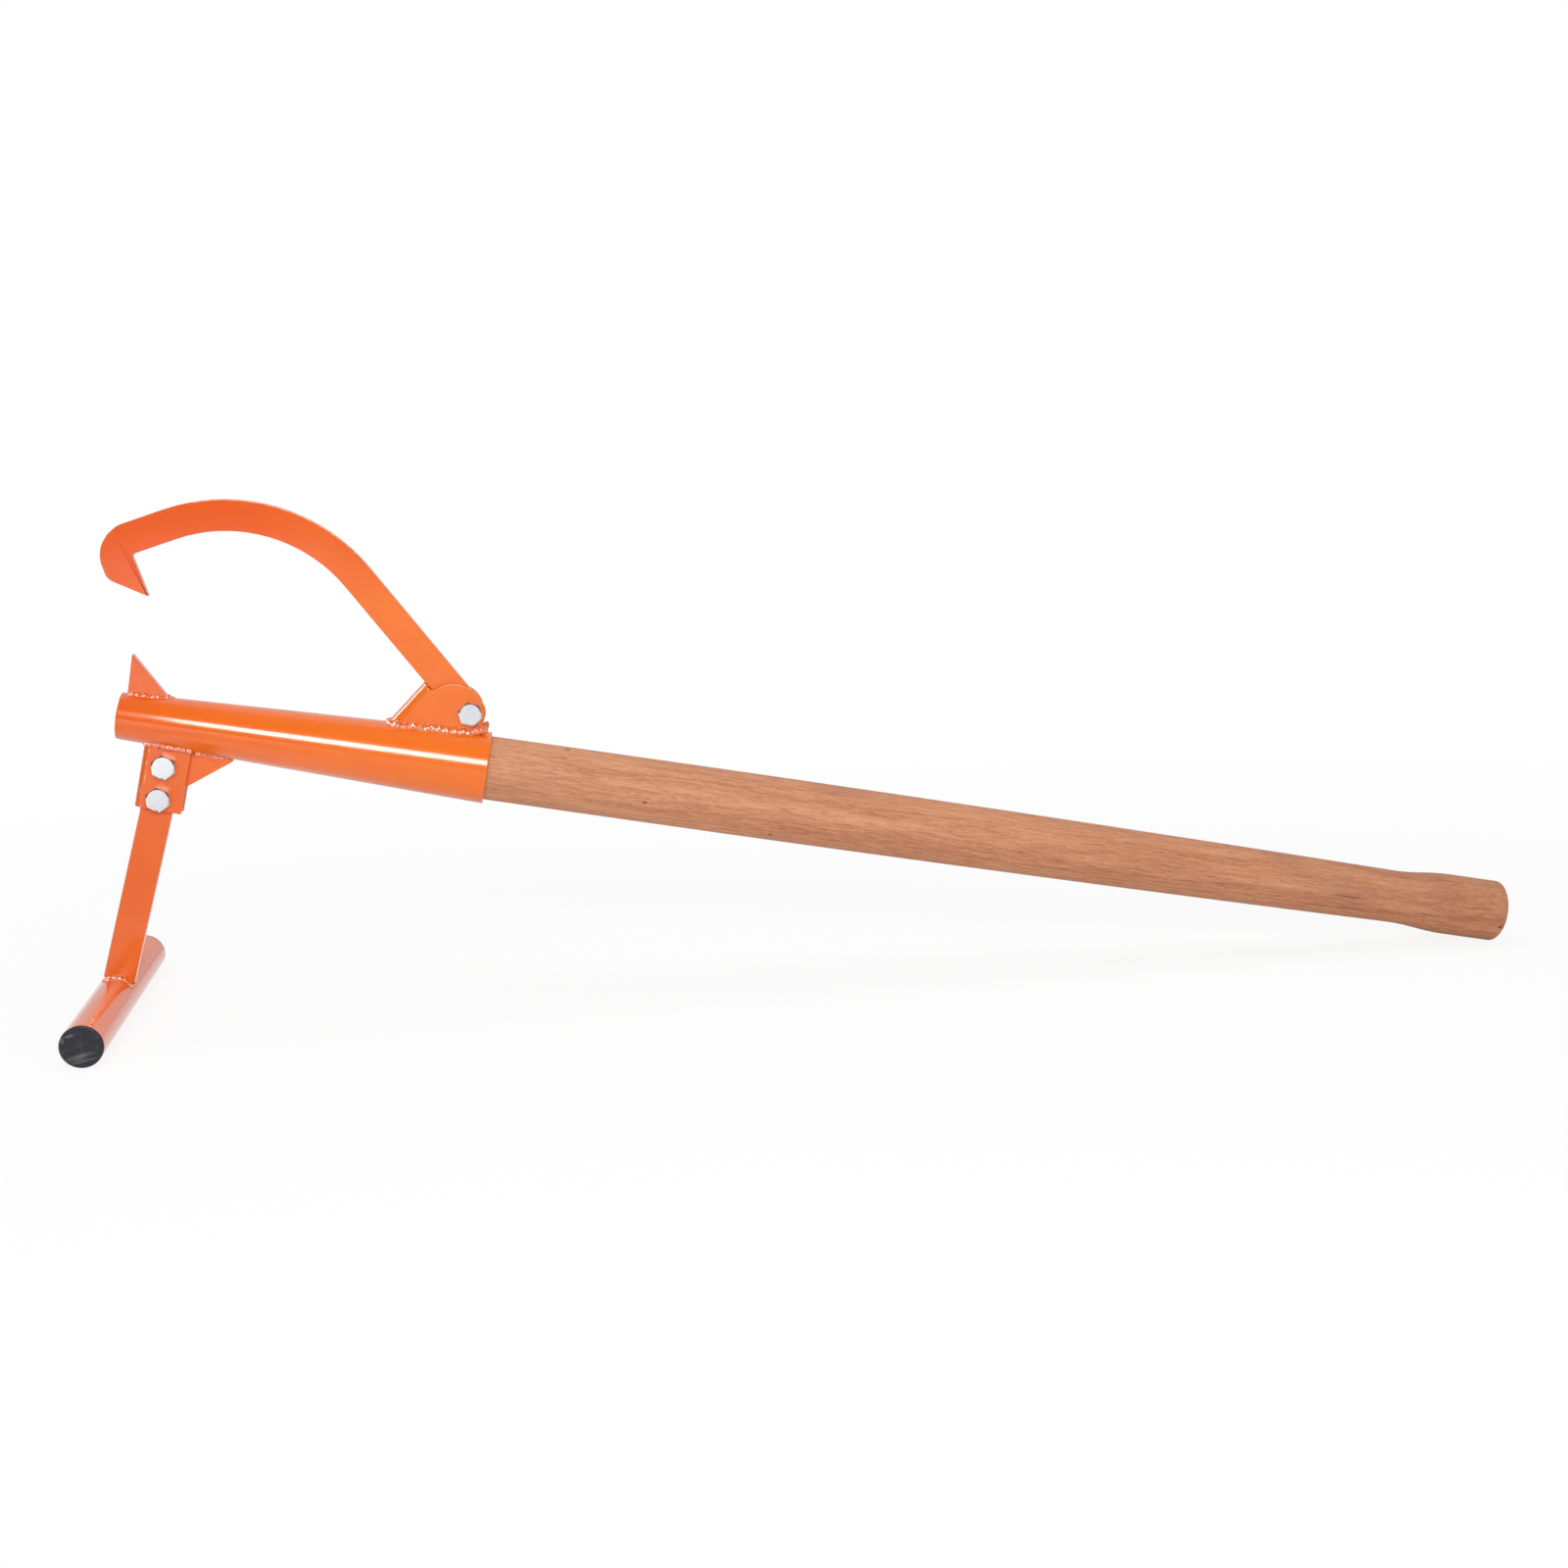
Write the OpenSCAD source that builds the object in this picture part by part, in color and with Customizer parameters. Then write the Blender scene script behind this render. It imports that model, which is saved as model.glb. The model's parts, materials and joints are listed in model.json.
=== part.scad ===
// Log lifter with a swinging hook and a bolted T-foot.
// The tool is drawn along its own axis first: x runs from the sleeve's head end to the butt of the
// handle, z points up at right angles to the handle, and y runs across the tool.
// place() then tips it so that the foot bar and the butt both rest on the ground.

/* [Overall] */
// Length from the sleeve's head end to the butt of the handle
tool_length = 1220; // [1100:5:1400]

/* [Sleeve] */
// Length of the rolled tapered sleeve
sleeve_length = 300; // [280:5:340]
// Outer diameter at the head end
sleeve_head_d = 38.5; // [36:0.5:42]
// Outer diameter at the mouth, where the handle goes in
sleeve_mouth_d = 60.6; // [56:0.2:64]
// Wall of the sleeve
sleeve_wall = 3.4; // [2:0.1:4.5]

/* [Handle] */
// How far the wood stays back inside the sleeve's head end
handle_recess = 12; // [4:1:40]
// Play between the wood and the sleeve's bore, on the radius
handle_play = 0.15; // [0.05:0.05:0.4]
// Thickest diameter of the handle
belly_d = 54.8; // [53:0.1:58]
// Distance of the thickest place from the sleeve's mouth
belly_from_mouth = 240; // [150:5:350]
// Thinnest diameter, just before the butt flares out
neck_d = 47; // [42:0.5:50]
// Diameter of the butt
butt_d = 54.6; // [52:0.1:58]
// Length of the butt's straight end
butt_length = 48; // [30:1:80]
// Length of the flare between neck and butt
flare_length = 52; // [30:1:80]
// Rounding of the butt's edge
butt_round = 2.5; // [1:0.5:6]

/* [Tooth] */
// Distance of the tooth's upright edge from the head end
tooth_at = 4.8; // [3:0.1:12]
// Height of the tooth's tip above the handle's axis
tooth_reach = 52.3; // [46:0.1:60]
// Slope of the tooth's back edge
tooth_slope = 44.5; // [40:0.5:50]
// Thickness of the tooth's plate
tooth_t = 8; // [5:0.5:10]

/* [Hook] */
// Width of the hook's flat bar
hook_w = 25.4; // [22:0.2:28]
// Thickness of the hook's flat bar
hook_t = 8; // [6:0.5:10]
// Distance of the pivot from the sleeve's mouth
pivot_setback = 20.4; // [18:0.2:24]
// Height of the pivot above the handle's axis
pivot_height = 44.9; // [44.5:0.1:48]
// Slope of the straight arm above the handle's axis
arm_slope = 42.5; // [40:0.5:45]
// Length of the arm, from the pivot to the corner of its centre line
arm_length = 237.5; // [225:0.5:260]
// Bend radius of the arch at the bar's centre line
arch_radius = 131; // [110:1:140]
// Slope of the straight nose
nose_slope = 28.4; // [24:0.2:34]
// Length of the nose between the corners of its centre line
nose_length = 143.2; // [138:0.2:160]
// Inner bend radius between nose and beak
nose_fillet = 2.6; // [1:0.2:6]
// Slope of the beak's inner edge
beak_slope = 62; // [56:0.5:68]
// Length of the beak's inner edge
beak_length = 35.7; // [30:0.1:40]
// Slope of the slanting cut that sharpens the beak
beak_cut = 14.5; // [10:0.5:20]
// Rounding of the beak's heel
beak_heel_round = 12; // [4:1:16]
// Play of the hook's bore on its bolt, on the radius
pivot_play = 0.05; // [0.02:0.01:0.1]

/* [Hook bracket] */
// Sheet thickness of the folded brackets
sheet_t = 4; // [3:0.5:5]
// Play between a flat bar and the bracket's cheek beside it
side_play = 0.5; // [0.3:0.1:1]
// Outer radius of the hook bracket's folds
fold_radius = 8; // [5:0.1:8.4]
// Slope of the hook bracket's back
back_slope = 56.2; // [52:0.5:60]
// Distance along the handle from the pivot to the foot of the back
back_setback = 65.8; // [62:0.2:70]
// Radius of the cheeks' round lobe
lobe_radius = 25.5; // [24:0.5:27]
// Distance of the lobe's centre from the pivot, towards the head
lobe_back = 13.4; // [12:0.2:15]
// Distance of the lobe's centre below the pivot
lobe_drop = 3.2; // [2:0.2:5]
// Rounding of the notch between the back and the lobe
notch_radius = 3; // [2:0.5:4]
// Gap between the resting hook and its stop
stop_gap = 0.3; // [0.2:0.1:0.6]

/* [Leg bracket] */
// Where the leg bracket's fold line would cross the handle's axis
leg_bracket_at = 23.3; // [20:0.1:30]
// Width of the leg bracket, from its fold to its open edge
leg_bracket_w = 38.2; // [36:0.2:42]
// Depth of the leg bracket's lower edge below the handle's axis
leg_bracket_drop = 72; // [70:0.5:78]
// Lean of the leg bracket
leg_bracket_lean = 2.5; // [1:0.5:4]
// Outer radius of the leg bracket's folds
leg_fold_radius = 6.5; // [5:0.1:8]
// Depth of the upper leg bolt below the handle's axis
leg_bolt_drop = 34.4; // [34:0.2:36]
// Distance between the two leg bolts
leg_bolt_spacing = 27.3; // [24:0.1:28]

/* [Leg and foot] */
// Width of the leg's flat bar
leg_w = 25.4; // [22:0.2:27]
// Thickness of the leg's flat bar
leg_t = 8; // [6:0.5:10]
// Lean of the leg
leg_lean = 5.3; // [4:0.1:6.5]
// Bar left above the upper bolt
leg_top_margin = 11.5; // [9:0.5:12]
// Depth of the foot bar's centre below the handle's axis
foot_drop = 237.5; // [200:0.5:280]
// Length of the foot bar over its caps
foot_length = 270; // [200:2:340]
// Diameter of the foot bar
foot_d = 34; // [30:0.5:38]
// Wall of the foot bar
foot_wall = 2.5; // [2:0.1:3.5]
// Depth of the leg's seat on the foot bar
leg_seat = 1; // [0.5:0.1:2]
// Thickness of an end cap's flange
cap_flange = 2; // [1.5:0.1:4]
// Length of an end cap's plug
cap_plug = 16; // [10:1:25]
// Wall of an end cap's plug
cap_wall = 2; // [1.5:0.1:3]
// Play between the plug's fins and the tube
cap_play = 0.1; // [0.05:0.05:0.3]

/* [Gusset] */
// Distance of the gusset's tip from the head end
gusset_tip_at = 94; // [85:1:110]
// Depth of the gusset's lower corner at the bracket's edge
gusset_drop = 51; // [46:0.5:56]
// Thickness of the gusset
gusset_t = 8; // [5:0.5:10]
// How far the gusset reaches in between the bracket's cheeks
gusset_tuck = 3; // [1:0.5:4]
// Blunt edge at the gusset's tip
gusset_blunt = 1.6; // [1:0.2:4]

/* [Bolts and nuts] */
// Bolt diameter
bolt_d = 12; // [10:0.5:12]
// Width across the flats of heads and nuts
hex_af = 18; // [17:0.5:19]
// Height of a bolt's head
head_h = 7.5; // [6:0.5:9]
// Height of a lock nut
nut_h = 12; // [10:0.5:14]
// Bolt end that shows past its nut
bolt_end = 4; // [1:0.5:6]
// Play of the bolts in the drilled plates, on the radius
hole_play = 0.3; // [0.2:0.05:0.5]
// Play that stands for the thread between bolt and nut
thread_play = 0.05; // [0.03:0.01:0.1]
// Turn of the hook bolt's head
hook_head_turn = 54; // [0:1:60]
// Turn of the leg bolts' heads
leg_head_turn = 41.5; // [0:0.5:60]

/* [Weld beads] */
// Size of the beads at the brackets
bracket_bead = 4.2; // [3:0.1:5]
// Size of the beads at tooth and gusset
plate_bead = 3.6; // [2.5:0.1:4]
// Size of the heaped bead at each cheek's rear end
heap_bead = 7.2; // [6:0.1:7.5]
// Thickness of the weld round the leg's foot
foot_bead = 4; // [3:0.1:5]

/* [Hidden] */

paint = [0.94, 0.42, 0.16];
weld_paint = [0.90, 0.38, 0.14];
zinc = [0.82, 0.84, 0.88];
wood = [0.80, 0.58, 0.43];
black = [0.13, 0.13, 0.14];
nylon = [0.88, 0.88, 0.84];

$fn = 96;
arc_step = 4;
bead_step = 15;
bead_seam = 25;
// How far a bead's middle runs off the plate's face
bead_off = 0.3;
// How far a bead starts from a plate's edge, and how much slimmer it is where it turns a corner
bead_lead = 1;
bead_slim = 0.5;
// Where a heap of weld metal lies, behind and above the lobe's foot
heap_shift = [3.4, 2.4];
stations = 12;
cut = 0.01;
far = 400;

// Widths across the tool
bracket_gap = max(hook_t, leg_t, gusset_t) + 2 * side_play;
bracket_w = bracket_gap + 2 * sheet_t;
bar_edge = 0.4;

// Sleeve radii
sleeve_head_r = sleeve_head_d / 2;
sleeve_mouth_r = sleeve_mouth_d / 2;
taper = (sleeve_mouth_r - sleeve_head_r) / sleeve_length;
function sleeve_r(x) = sleeve_head_r + taper * x;
// Height at which an upright plate's face, y off the middle, meets the sleeve
function seat_z(x, y) = sqrt(pow(sleeve_r(x), 2) - y * y);

// Handle stations along the axis
belly_at = sleeve_length + belly_from_mouth;
butt_at = tool_length - butt_length;
neck_at = butt_at - flare_length;
butt_r = butt_d / 2;
neck_r = neck_d / 2;
belly_r = belly_d / 2;
function bore_r(x) = sleeve_r(x) - sleeve_wall;

// Directions in the side view: [along the handle, up]
function dir(a) = [cos(a), sin(a)];
function left(a) = [-sin(a), cos(a)];
function unit(v) = v / norm(v);
// Where the line through p at angle a meets the line through q at angle b
function meet(p, a, q, b) = p + dir(a) * cross(q - p, dir(b)) / cross(dir(a), dir(b));
// Corner of a band's edge, s to the left of its centre line, where that turns from a to b at p
function edge_corner(p, a, b, s) = p + s * (left(a) + left(b)) / (1 + left(a) * left(b));
// Points on a circle about c, from angle a0 to angle a1
function arc(c, r, a0, a1) = let (n = max(2, ceil(abs(a1 - a0) / arc_step)))
    [for (i = [0:n]) c + r * dir(a0 + (a1 - a0) * i / n)];
// Outline through corners [x, y, radius], each rounded by its own radius
function corner(a, b, c) = b[2] <= 0 ? [[b.x, b.y]] :
    let (p = [b.x, b.y], u = unit([a.x, a.y] - p), v = unit([c.x, c.y] - p),
        half = acos(u * v) / 2, centre = p + unit(u + v) * b[2] / sin(half),
        from = p + u * b[2] / tan(half) - centre, to = p + v * b[2] / tan(half) - centre,
        a0 = atan2(from.y, from.x), turn = (atan2(to.y, to.x) - a0 + 900) % 360 - 180)
    arc(centre, b[2], a0, a0 + turn);
function rounded(p) = let (n = len(p))
    [for (i = [0:n - 1]) each corner(p[(i + n - 1) % n], p[i], p[(i + 1) % n])];
function sharp(p) = [for (q = p) [q.x, q.y, 0]];
function with_r(p, r) = [p.x, p.y, r];

// Hook: centre line and corners
pivot = [sleeve_length - pivot_setback, pivot_height];
arm_dir = 180 - arm_slope;
eye_dir = arm_dir + 180;
nose_dir = 180 + nose_slope;
beak_dir = -beak_slope;
arch_corner = pivot + arm_length * dir(arm_dir);
nose_corner = arch_corner + nose_length * dir(nose_dir);
beak_corner = edge_corner(nose_corner, nose_dir, beak_dir, hook_w / 2);
beak_back = edge_corner(nose_corner, nose_dir, beak_dir, -hook_w / 2);
beak_tip = beak_corner + beak_length * dir(beak_dir);
beak_heel = meet(beak_tip, 180 - beak_cut, beak_back, beak_dir);

// Hook bracket: back line, stop line and lobe
stop_point = pivot + (hook_w / 2 + stop_gap) * left(arm_dir);
back_x = pivot.x - back_setback;
back_foot = [back_x, sleeve_r(back_x)];
back_top = meet(back_foot, back_slope, stop_point, arm_dir);
lobe = pivot - [lobe_back, lobe_drop];
lobe_end = -45;
// The notch's centre lies notch_radius above the stop line and outside the lobe
notch_line = stop_point - notch_radius * left(arm_dir);
notch_foot = notch_line + dir(arm_dir) * ((lobe - notch_line) * dir(arm_dir));
notch = notch_foot
    + dir(arm_dir) * sqrt(pow(lobe_radius + notch_radius, 2) - pow(norm(lobe - notch_foot), 2));
notch_to_lobe = atan2(lobe.y - notch.y, lobe.x - notch.x);

// Leg bracket: points by its own width and depth
function bracket_point(x, z) = [leg_bracket_at + x * cos(leg_bracket_lean) + z * sin(leg_bracket_lean),
    z * cos(leg_bracket_lean) - x * sin(leg_bracket_lean)];
upper_bolt = bracket_point(leg_bracket_w / 2, -leg_bolt_drop);
lower_bolt = bracket_point(leg_bracket_w / 2, -leg_bolt_drop - leg_bolt_spacing);

// Leg and foot bar
leg_middle = (upper_bolt + lower_bolt) / 2;
leg_dir = 270 - leg_lean;
foot_r = foot_d / 2;
foot = meet(leg_middle, leg_dir, [0, -foot_drop], 0);
leg_top = leg_middle - dir(leg_dir) * (leg_bolt_spacing / 2 + leg_top_margin);
leg_reach = norm(foot - leg_top) - foot_r + leg_seat;
tube_length = foot_length - 2 * cap_flange;
tube_bore_r = foot_r - foot_wall;

// Resting pose: one straight line touches the foot bar and the butt's edge from below
butt_edge = [tool_length - butt_round, butt_round - butt_r];
rest_line = butt_edge - foot;
tilt = atan2(rest_line.y, rest_line.x) + asin((foot_r - butt_round) / norm(rest_line));
function tipped(p) = [p.x * cos(tilt) + p.y * sin(tilt), p.y * cos(tilt) - p.x * sin(tilt)];
low_x = tipped(foot).x - foot_r;
high_x = tipped([butt_edge.x, -butt_edge.y]).x + butt_round;
ground_z = tipped(foot).y - foot_r;

module place() translate([-(low_x + high_x) / 2, 0, -ground_z]) rotate([0, tilt, 0]) children();
// Plate of a side outline, t thick, in the middle of the tool
module plate(t) rotate([90, 0, 0]) linear_extrude(t, center = true) children();
// Stands children at p in the side view with their z axis pointing across the tool
module across(p) translate([p.x, 0, p.y]) rotate([-90, 0, 0]) children();
module hole(p, r) across(p) cylinder(r = r, h = far, center = true);

// Solid cone with the sleeve's outer surface
module sleeve_body() rotate([0, 90, 0])
    cylinder(r1 = sleeve_head_r, r2 = sleeve_mouth_r, h = sleeve_length);

module sleeve() color(paint) place() difference() {
    sleeve_body();
    translate([-cut, 0, 0]) rotate([0, 90, 0])
        cylinder(r1 = bore_r(-cut), r2 = bore_r(sleeve_length + cut), h = sleeve_length + 2 * cut);
}

// Side profile of the handle, [distance along the axis, radius]
handle_profile = concat(
    [[handle_recess, 0], [handle_recess, bore_r(handle_recess) - handle_play]],
    [for (i = [0:stations]) let (s = i / stations, mouth_r = bore_r(sleeve_length) - handle_play)
        [sleeve_length + (belly_at - sleeve_length) * s,
            belly_r - (belly_r - mouth_r) * pow(1 - s, 2)]],
    [for (i = [1:stations]) let (s = i / stations)
        [belly_at + (neck_at - belly_at) * s, belly_r - (belly_r - neck_r) * s * s]],
    [for (i = [1:stations]) let (s = i / stations)
        [neck_at + flare_length * s, neck_r + (butt_r - neck_r) * (1 - cos(180 * s)) / 2]],
    [for (p = arc([tool_length - butt_round, butt_r - butt_round], butt_round, 90, 0)) p],
    [[tool_length, 0]]);

module handle() color(wood) place() rotate([0, 90, 0])
    rotate_extrude() polygon([for (p = handle_profile) [p.y, p.x]]);

// Hook: outline of the bent bar with a round eye and a sharpened beak
hook_outline = rounded(concat(
    sharp(arc(pivot, hook_w / 2, eye_dir + 90, eye_dir - 90)),
    [with_r(edge_corner(arch_corner, arm_dir, nose_dir, hook_w / 2), arch_radius - hook_w / 2),
        with_r(beak_corner, nose_fillet),
        with_r(beak_tip, bar_edge),
        with_r(beak_heel, beak_heel_round),
        with_r(beak_back, nose_fillet + hook_w),
        with_r(edge_corner(arch_corner, arm_dir, nose_dir, -hook_w / 2), arch_radius + hook_w / 2)]));

module hook() color(paint) place() difference() {
    plate(hook_t) polygon(hook_outline);
    hole(pivot, bolt_d / 2 + pivot_play);
}

// Folded channel: closed side at x = 0, folds of outer radius r, cheeks reaching towards +x
module channel(length, filled, r, reach = far) {
    w = bracket_w / 2;
    g = bracket_gap / 2;
    inner = max(0.5, r - sheet_t);
    linear_extrude(length) polygon(rounded(filled
        ? [[0, -w, r], [0, w, r], [reach, w, 0], [reach, -w, 0]]
        : [[0, -w, r], [0, w, r], [reach, w, 0], [reach, g, 0],
            [sheet_t, g, inner], [sheet_t, -g, inner], [reach, -g, 0], [reach, -w, 0]]));
}

// Side outline of the hook bracket, run down into the sleeve, which cuts it to its seat
hook_bracket_outline = let (deep = sleeve_head_r / 2) concat(
    [meet(back_foot, back_slope, [0, deep], 0)],
    corner(with_r(back_foot, 0), with_r(back_top, bar_edge), with_r(notch, 0)),
    arc(notch, notch_radius, arm_dir - 270, notch_to_lobe),
    arc(lobe, lobe_radius, notch_to_lobe + 180, lobe_end),
    [[lobe.x + lobe_radius * cos(lobe_end), deep]]);

module hook_bracket_block(filled) intersection() {
    plate(bracket_w) polygon(hook_bracket_outline);
    translate([back_foot.x, 0, back_foot.y]) rotate([0, 90 - back_slope, 0])
        translate([0, 0, -far / 4]) channel(far / 2, filled, fold_radius);
}

module hook_bracket() color(paint) place() difference() {
    hook_bracket_block(false);
    sleeve_body();
    hole(pivot, bolt_d / 2 + hole_play);
}

// Channel of the leg bracket, hanging from the axis down to its lower edge
module leg_bracket_block(filled)
    translate([leg_bracket_at, 0, 0]) rotate([0, leg_bracket_lean, 0])
        translate([0, 0, -leg_bracket_drop])
            channel(leg_bracket_drop, filled, leg_fold_radius, leg_bracket_w);

module leg_bracket() color(paint) place() difference() {
    leg_bracket_block(false);
    sleeve_body();
    for (p = [upper_bolt, lower_bolt]) hole(p, bolt_d / 2 + hole_play);
}

module tooth_plate() plate(tooth_t) polygon(rounded([
    [tooth_at, 0, 0],
    [tooth_at, tooth_reach, bar_edge],
    [tooth_at + tooth_reach / tan(tooth_slope), 0, 0]]));

module tooth() color(paint) place() difference() {
    tooth_plate();
    sleeve_body();
}

// Gusset: its lower edge runs from the tip, through the bracket's edge, to its tucked corner
gusset_edge = meet(bracket_point(leg_bracket_w, 0), 90 - leg_bracket_lean, [0, -gusset_drop], 0);
gusset_tip = [gusset_tip_at, -sleeve_r(gusset_tip_at) - gusset_blunt];
gusset_rise = atan2(gusset_tip.y - gusset_edge.y, gusset_tip.x - gusset_edge.x);
gusset_inner = bracket_point(leg_bracket_w - gusset_tuck, 0);

module gusset_plate() plate(gusset_t) polygon([
    gusset_inner,
    [gusset_tip.x, 0],
    gusset_tip,
    meet(gusset_tip, gusset_rise, gusset_inner, 90 - leg_bracket_lean)]);

module gusset() color(paint) place() difference() {
    gusset_plate();
    sleeve_body();
}

module leg_plate() translate([leg_top.x, 0, leg_top.y]) rotate([0, leg_lean, 0])
    translate([-leg_w / 2, -leg_t / 2, -leg_reach]) cube([leg_w, leg_t, leg_reach]);

module leg() color(paint) place() difference() {
    leg_plate();
    for (p = [upper_bolt, lower_bolt]) hole(p, bolt_d / 2 + hole_play);
    hole(foot, foot_r);
}

module foot_bar() color(paint) place() across(foot) difference() {
    cylinder(r = foot_r, h = tube_length, center = true);
    cylinder(r = tube_bore_r, h = tube_length + 2 * cut, center = true);
}

// End cap: a flange as wide as the tube and a hollow plug with three gripping fins
module end_cap() {
    rim = cap_flange / 2;
    fin = 1;
    plug_r = tube_bore_r - cap_play - fin / 2;
    pitch = cap_plug / 4;
    rotate_extrude() polygon(concat(
        [[0, cap_flange]],
        [for (p = arc([foot_r - rim, cap_flange - rim], rim, 90, 0)) p],
        [[foot_r, 0], [plug_r, 0]],
        [for (i = [1:3]) each [[plug_r, fin - i * pitch], [plug_r + fin / 2, -i * pitch],
            [plug_r, -fin - i * pitch]]],
        [[plug_r, -cap_plug], [plug_r - cap_wall, -cap_plug], [plug_r - cap_wall, 0], [0, 0]]));
}

module front_cap() color(black) place() across(foot) mirror([0, 0, 1])
    translate([0, 0, tube_length / 2]) end_cap();
module back_cap() color(black) place() across(foot)
    translate([0, 0, tube_length / 2]) end_cap();

// Hexagon with its corners turned off at the top, standing on z = 0
hex_corner_r = hex_af / 2 / cos(30);
hex_chamfer = 1.6;
hex_face_r = hex_af / 2 - 0.5;
module hexagon(h, turn) intersection() {
    rotate([0, 0, -turn]) cylinder(r = hex_corner_r, h = h, $fn = 6);
    union() {
        cylinder(r = hex_corner_r + 0.5, h = h - hex_chamfer);
        translate([0, 0, h - hex_chamfer - cut])
            cylinder(r1 = hex_corner_r + 0.3, r2 = hex_face_r, h = hex_chamfer + cut);
    }
}

// Bolt through the bracket at p: the head on the front cheek, the end past the nut at the back
module bolt(p, turn) {
    point = 1.2;
    shank = bracket_w + nut_h + bolt_end;
    color(zinc) place() across(p) translate([0, 0, -bracket_w / 2]) {
        mirror([0, 0, 1]) hexagon(head_h, -turn);
        cylinder(d = bolt_d, h = shank - point);
        translate([0, 0, shank - point]) cylinder(r1 = bolt_d / 2, r2 = bolt_d / 2 - point, h = point);
    }
}

// Lock nut: a hexagon with a round collar that holds a nylon ring
collar_h = 3.2;
collar_r = hex_af / 2 - 0.6;
ring_r = collar_r - 1;
ring_h = 2.6;

module nut(p, turn) color(zinc) place() across(p) translate([0, 0, bracket_w / 2]) difference() {
    union() {
        hexagon(nut_h - collar_h, turn);
        translate([0, 0, nut_h - collar_h - cut]) cylinder(r = collar_r, h = collar_h + cut);
    }
    translate([0, 0, -cut]) cylinder(r = bolt_d / 2 + thread_play, h = nut_h + 2 * cut);
    translate([0, 0, nut_h - collar_h]) cylinder(r = ring_r, h = collar_h + cut);
}

module nut_ring(p) color(nylon) place() across(p)
    translate([0, 0, bracket_w / 2 + nut_h - collar_h]) difference() {
        cylinder(r = ring_r, h = ring_h);
        translate([0, 0, -cut]) cylinder(r = bolt_d / 2 + thread_play, h = ring_h + 2 * cut);
    }

module hook_bolt() bolt(pivot, hook_head_turn);
module hook_nut() nut(pivot, hook_head_turn);
module hook_nut_ring() nut_ring(pivot);
module upper_leg_bolt() bolt(upper_bolt, leg_head_turn);
module upper_leg_nut() nut(upper_bolt, leg_head_turn);
module upper_leg_nut_ring() nut_ring(upper_bolt);
module lower_leg_bolt() bolt(lower_bolt, leg_head_turn);
module lower_leg_nut() nut(lower_bolt, leg_head_turn);
module lower_leg_nut_ring() nut_ring(lower_bolt);

// Weld bead from p to q with rounded ends, turned in one piece; its seam lies on the sleeve's side
module bead(p, q, r, up) {
    v = q - p;
    translate(p) rotate([0, acos(v.z / norm(v)), atan2(v.y, v.x)])
        rotate([0, 0, bead_seam + (up ? 0 : 180)])
        rotate_extrude() polygon(concat(
            [[0, -r * cos(bead_step)]],
            [for (a = [bead_step:bead_step:90]) r * [sin(a), -cos(a)]],
            [for (a = [0:bead_step:90 - bead_step]) [r * cos(a), norm(v) + r * sin(a)]],
            [[0, norm(v) + r * cos(bead_step)]]));
}
// Bead in the corner between the sleeve and the face of a plate, y off the middle
module seat_bead(x0, x1, y, r, up) {
    s = up ? 1 : -1;
    b = y + sign(y) * bead_off;
    bead([x0, b, s * seat_z(x0, b)], [x1, b, s * seat_z(x1, b)], r, up);
}

tooth_heel = tooth_at + (tooth_reach - sleeve_r(tooth_at)) / tan(tooth_slope);
module tooth_weld() color(weld_paint) place() difference() {
    union() {
        for (s = [-1, 1]) seat_bead(tooth_at + bead_lead, tooth_heel - bead_lead,
            s * tooth_t / 2, plate_bead, true);
        bead([tooth_heel, bead_lead - tooth_t / 2, sleeve_r(tooth_heel)],
            [tooth_heel, tooth_t / 2 - bead_lead, sleeve_r(tooth_heel)], plate_bead - bead_slim, true);
    }
    tooth_plate();
    sleeve_body();
}

// Bead that bends round a bracket's folded side; front is its foremost point's distance from the head
module fold_bead(front, up) {
    turn_r = bracket_w / 2;
    height = (seat_z(front, 0) + seat_z(front + turn_r, turn_r)) / 2;
    translate([front + turn_r, 0, up ? height : -height]) rotate([0, 0, 90])
        rotate_extrude(angle = 180) translate([turn_r, 0]) circle(bracket_bead - bead_slim);
}

// Where the lobe comes down to the sleeve, and the heap of weld metal that closes the seam there
lobe_foot_x = lobe.x + sqrt(pow(lobe_radius, 2) - pow(lobe.y - sleeve_r(pivot.x), 2));
heap = [lobe_foot_x + heap_shift.x, (bracket_gap + sheet_t) / 2, sleeve_r(lobe_foot_x) + heap_shift.y];
module hook_bracket_weld() color(weld_paint) place() difference() {
    y = bracket_w / 2;
    front = back_foot.x + bead_lead;
    union() {
        for (s = [-1, 1]) {
            seat_bead(front + y - 2, lobe_foot_x - 3, s * y, bracket_bead, true);
            translate([heap.x, s * heap.y, heap.z]) sphere(heap_bead);
        }
        fold_bead(front, true);
    }
    hook_bracket_block(true);
    plate(bracket_gap) translate([back_foot.x + fold_radius, 0]) square(far);
    sleeve_body();
}

leg_seat_front = bracket_point(0, -sleeve_r(leg_bracket_at)).x;
leg_seat_back = bracket_point(leg_bracket_w, -sleeve_r(leg_bracket_at + leg_bracket_w)).x;
module leg_bracket_weld() color(weld_paint) place() difference() {
    y = bracket_w / 2;
    front = leg_seat_front + bead_lead;
    union() {
        for (s = [-1, 1])
            seat_bead(front + y - 2, leg_seat_back - 2, s * y, bracket_bead, false);
        fold_bead(front, false);
    }
    leg_bracket_block(true);
    sleeve_body();
}

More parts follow.
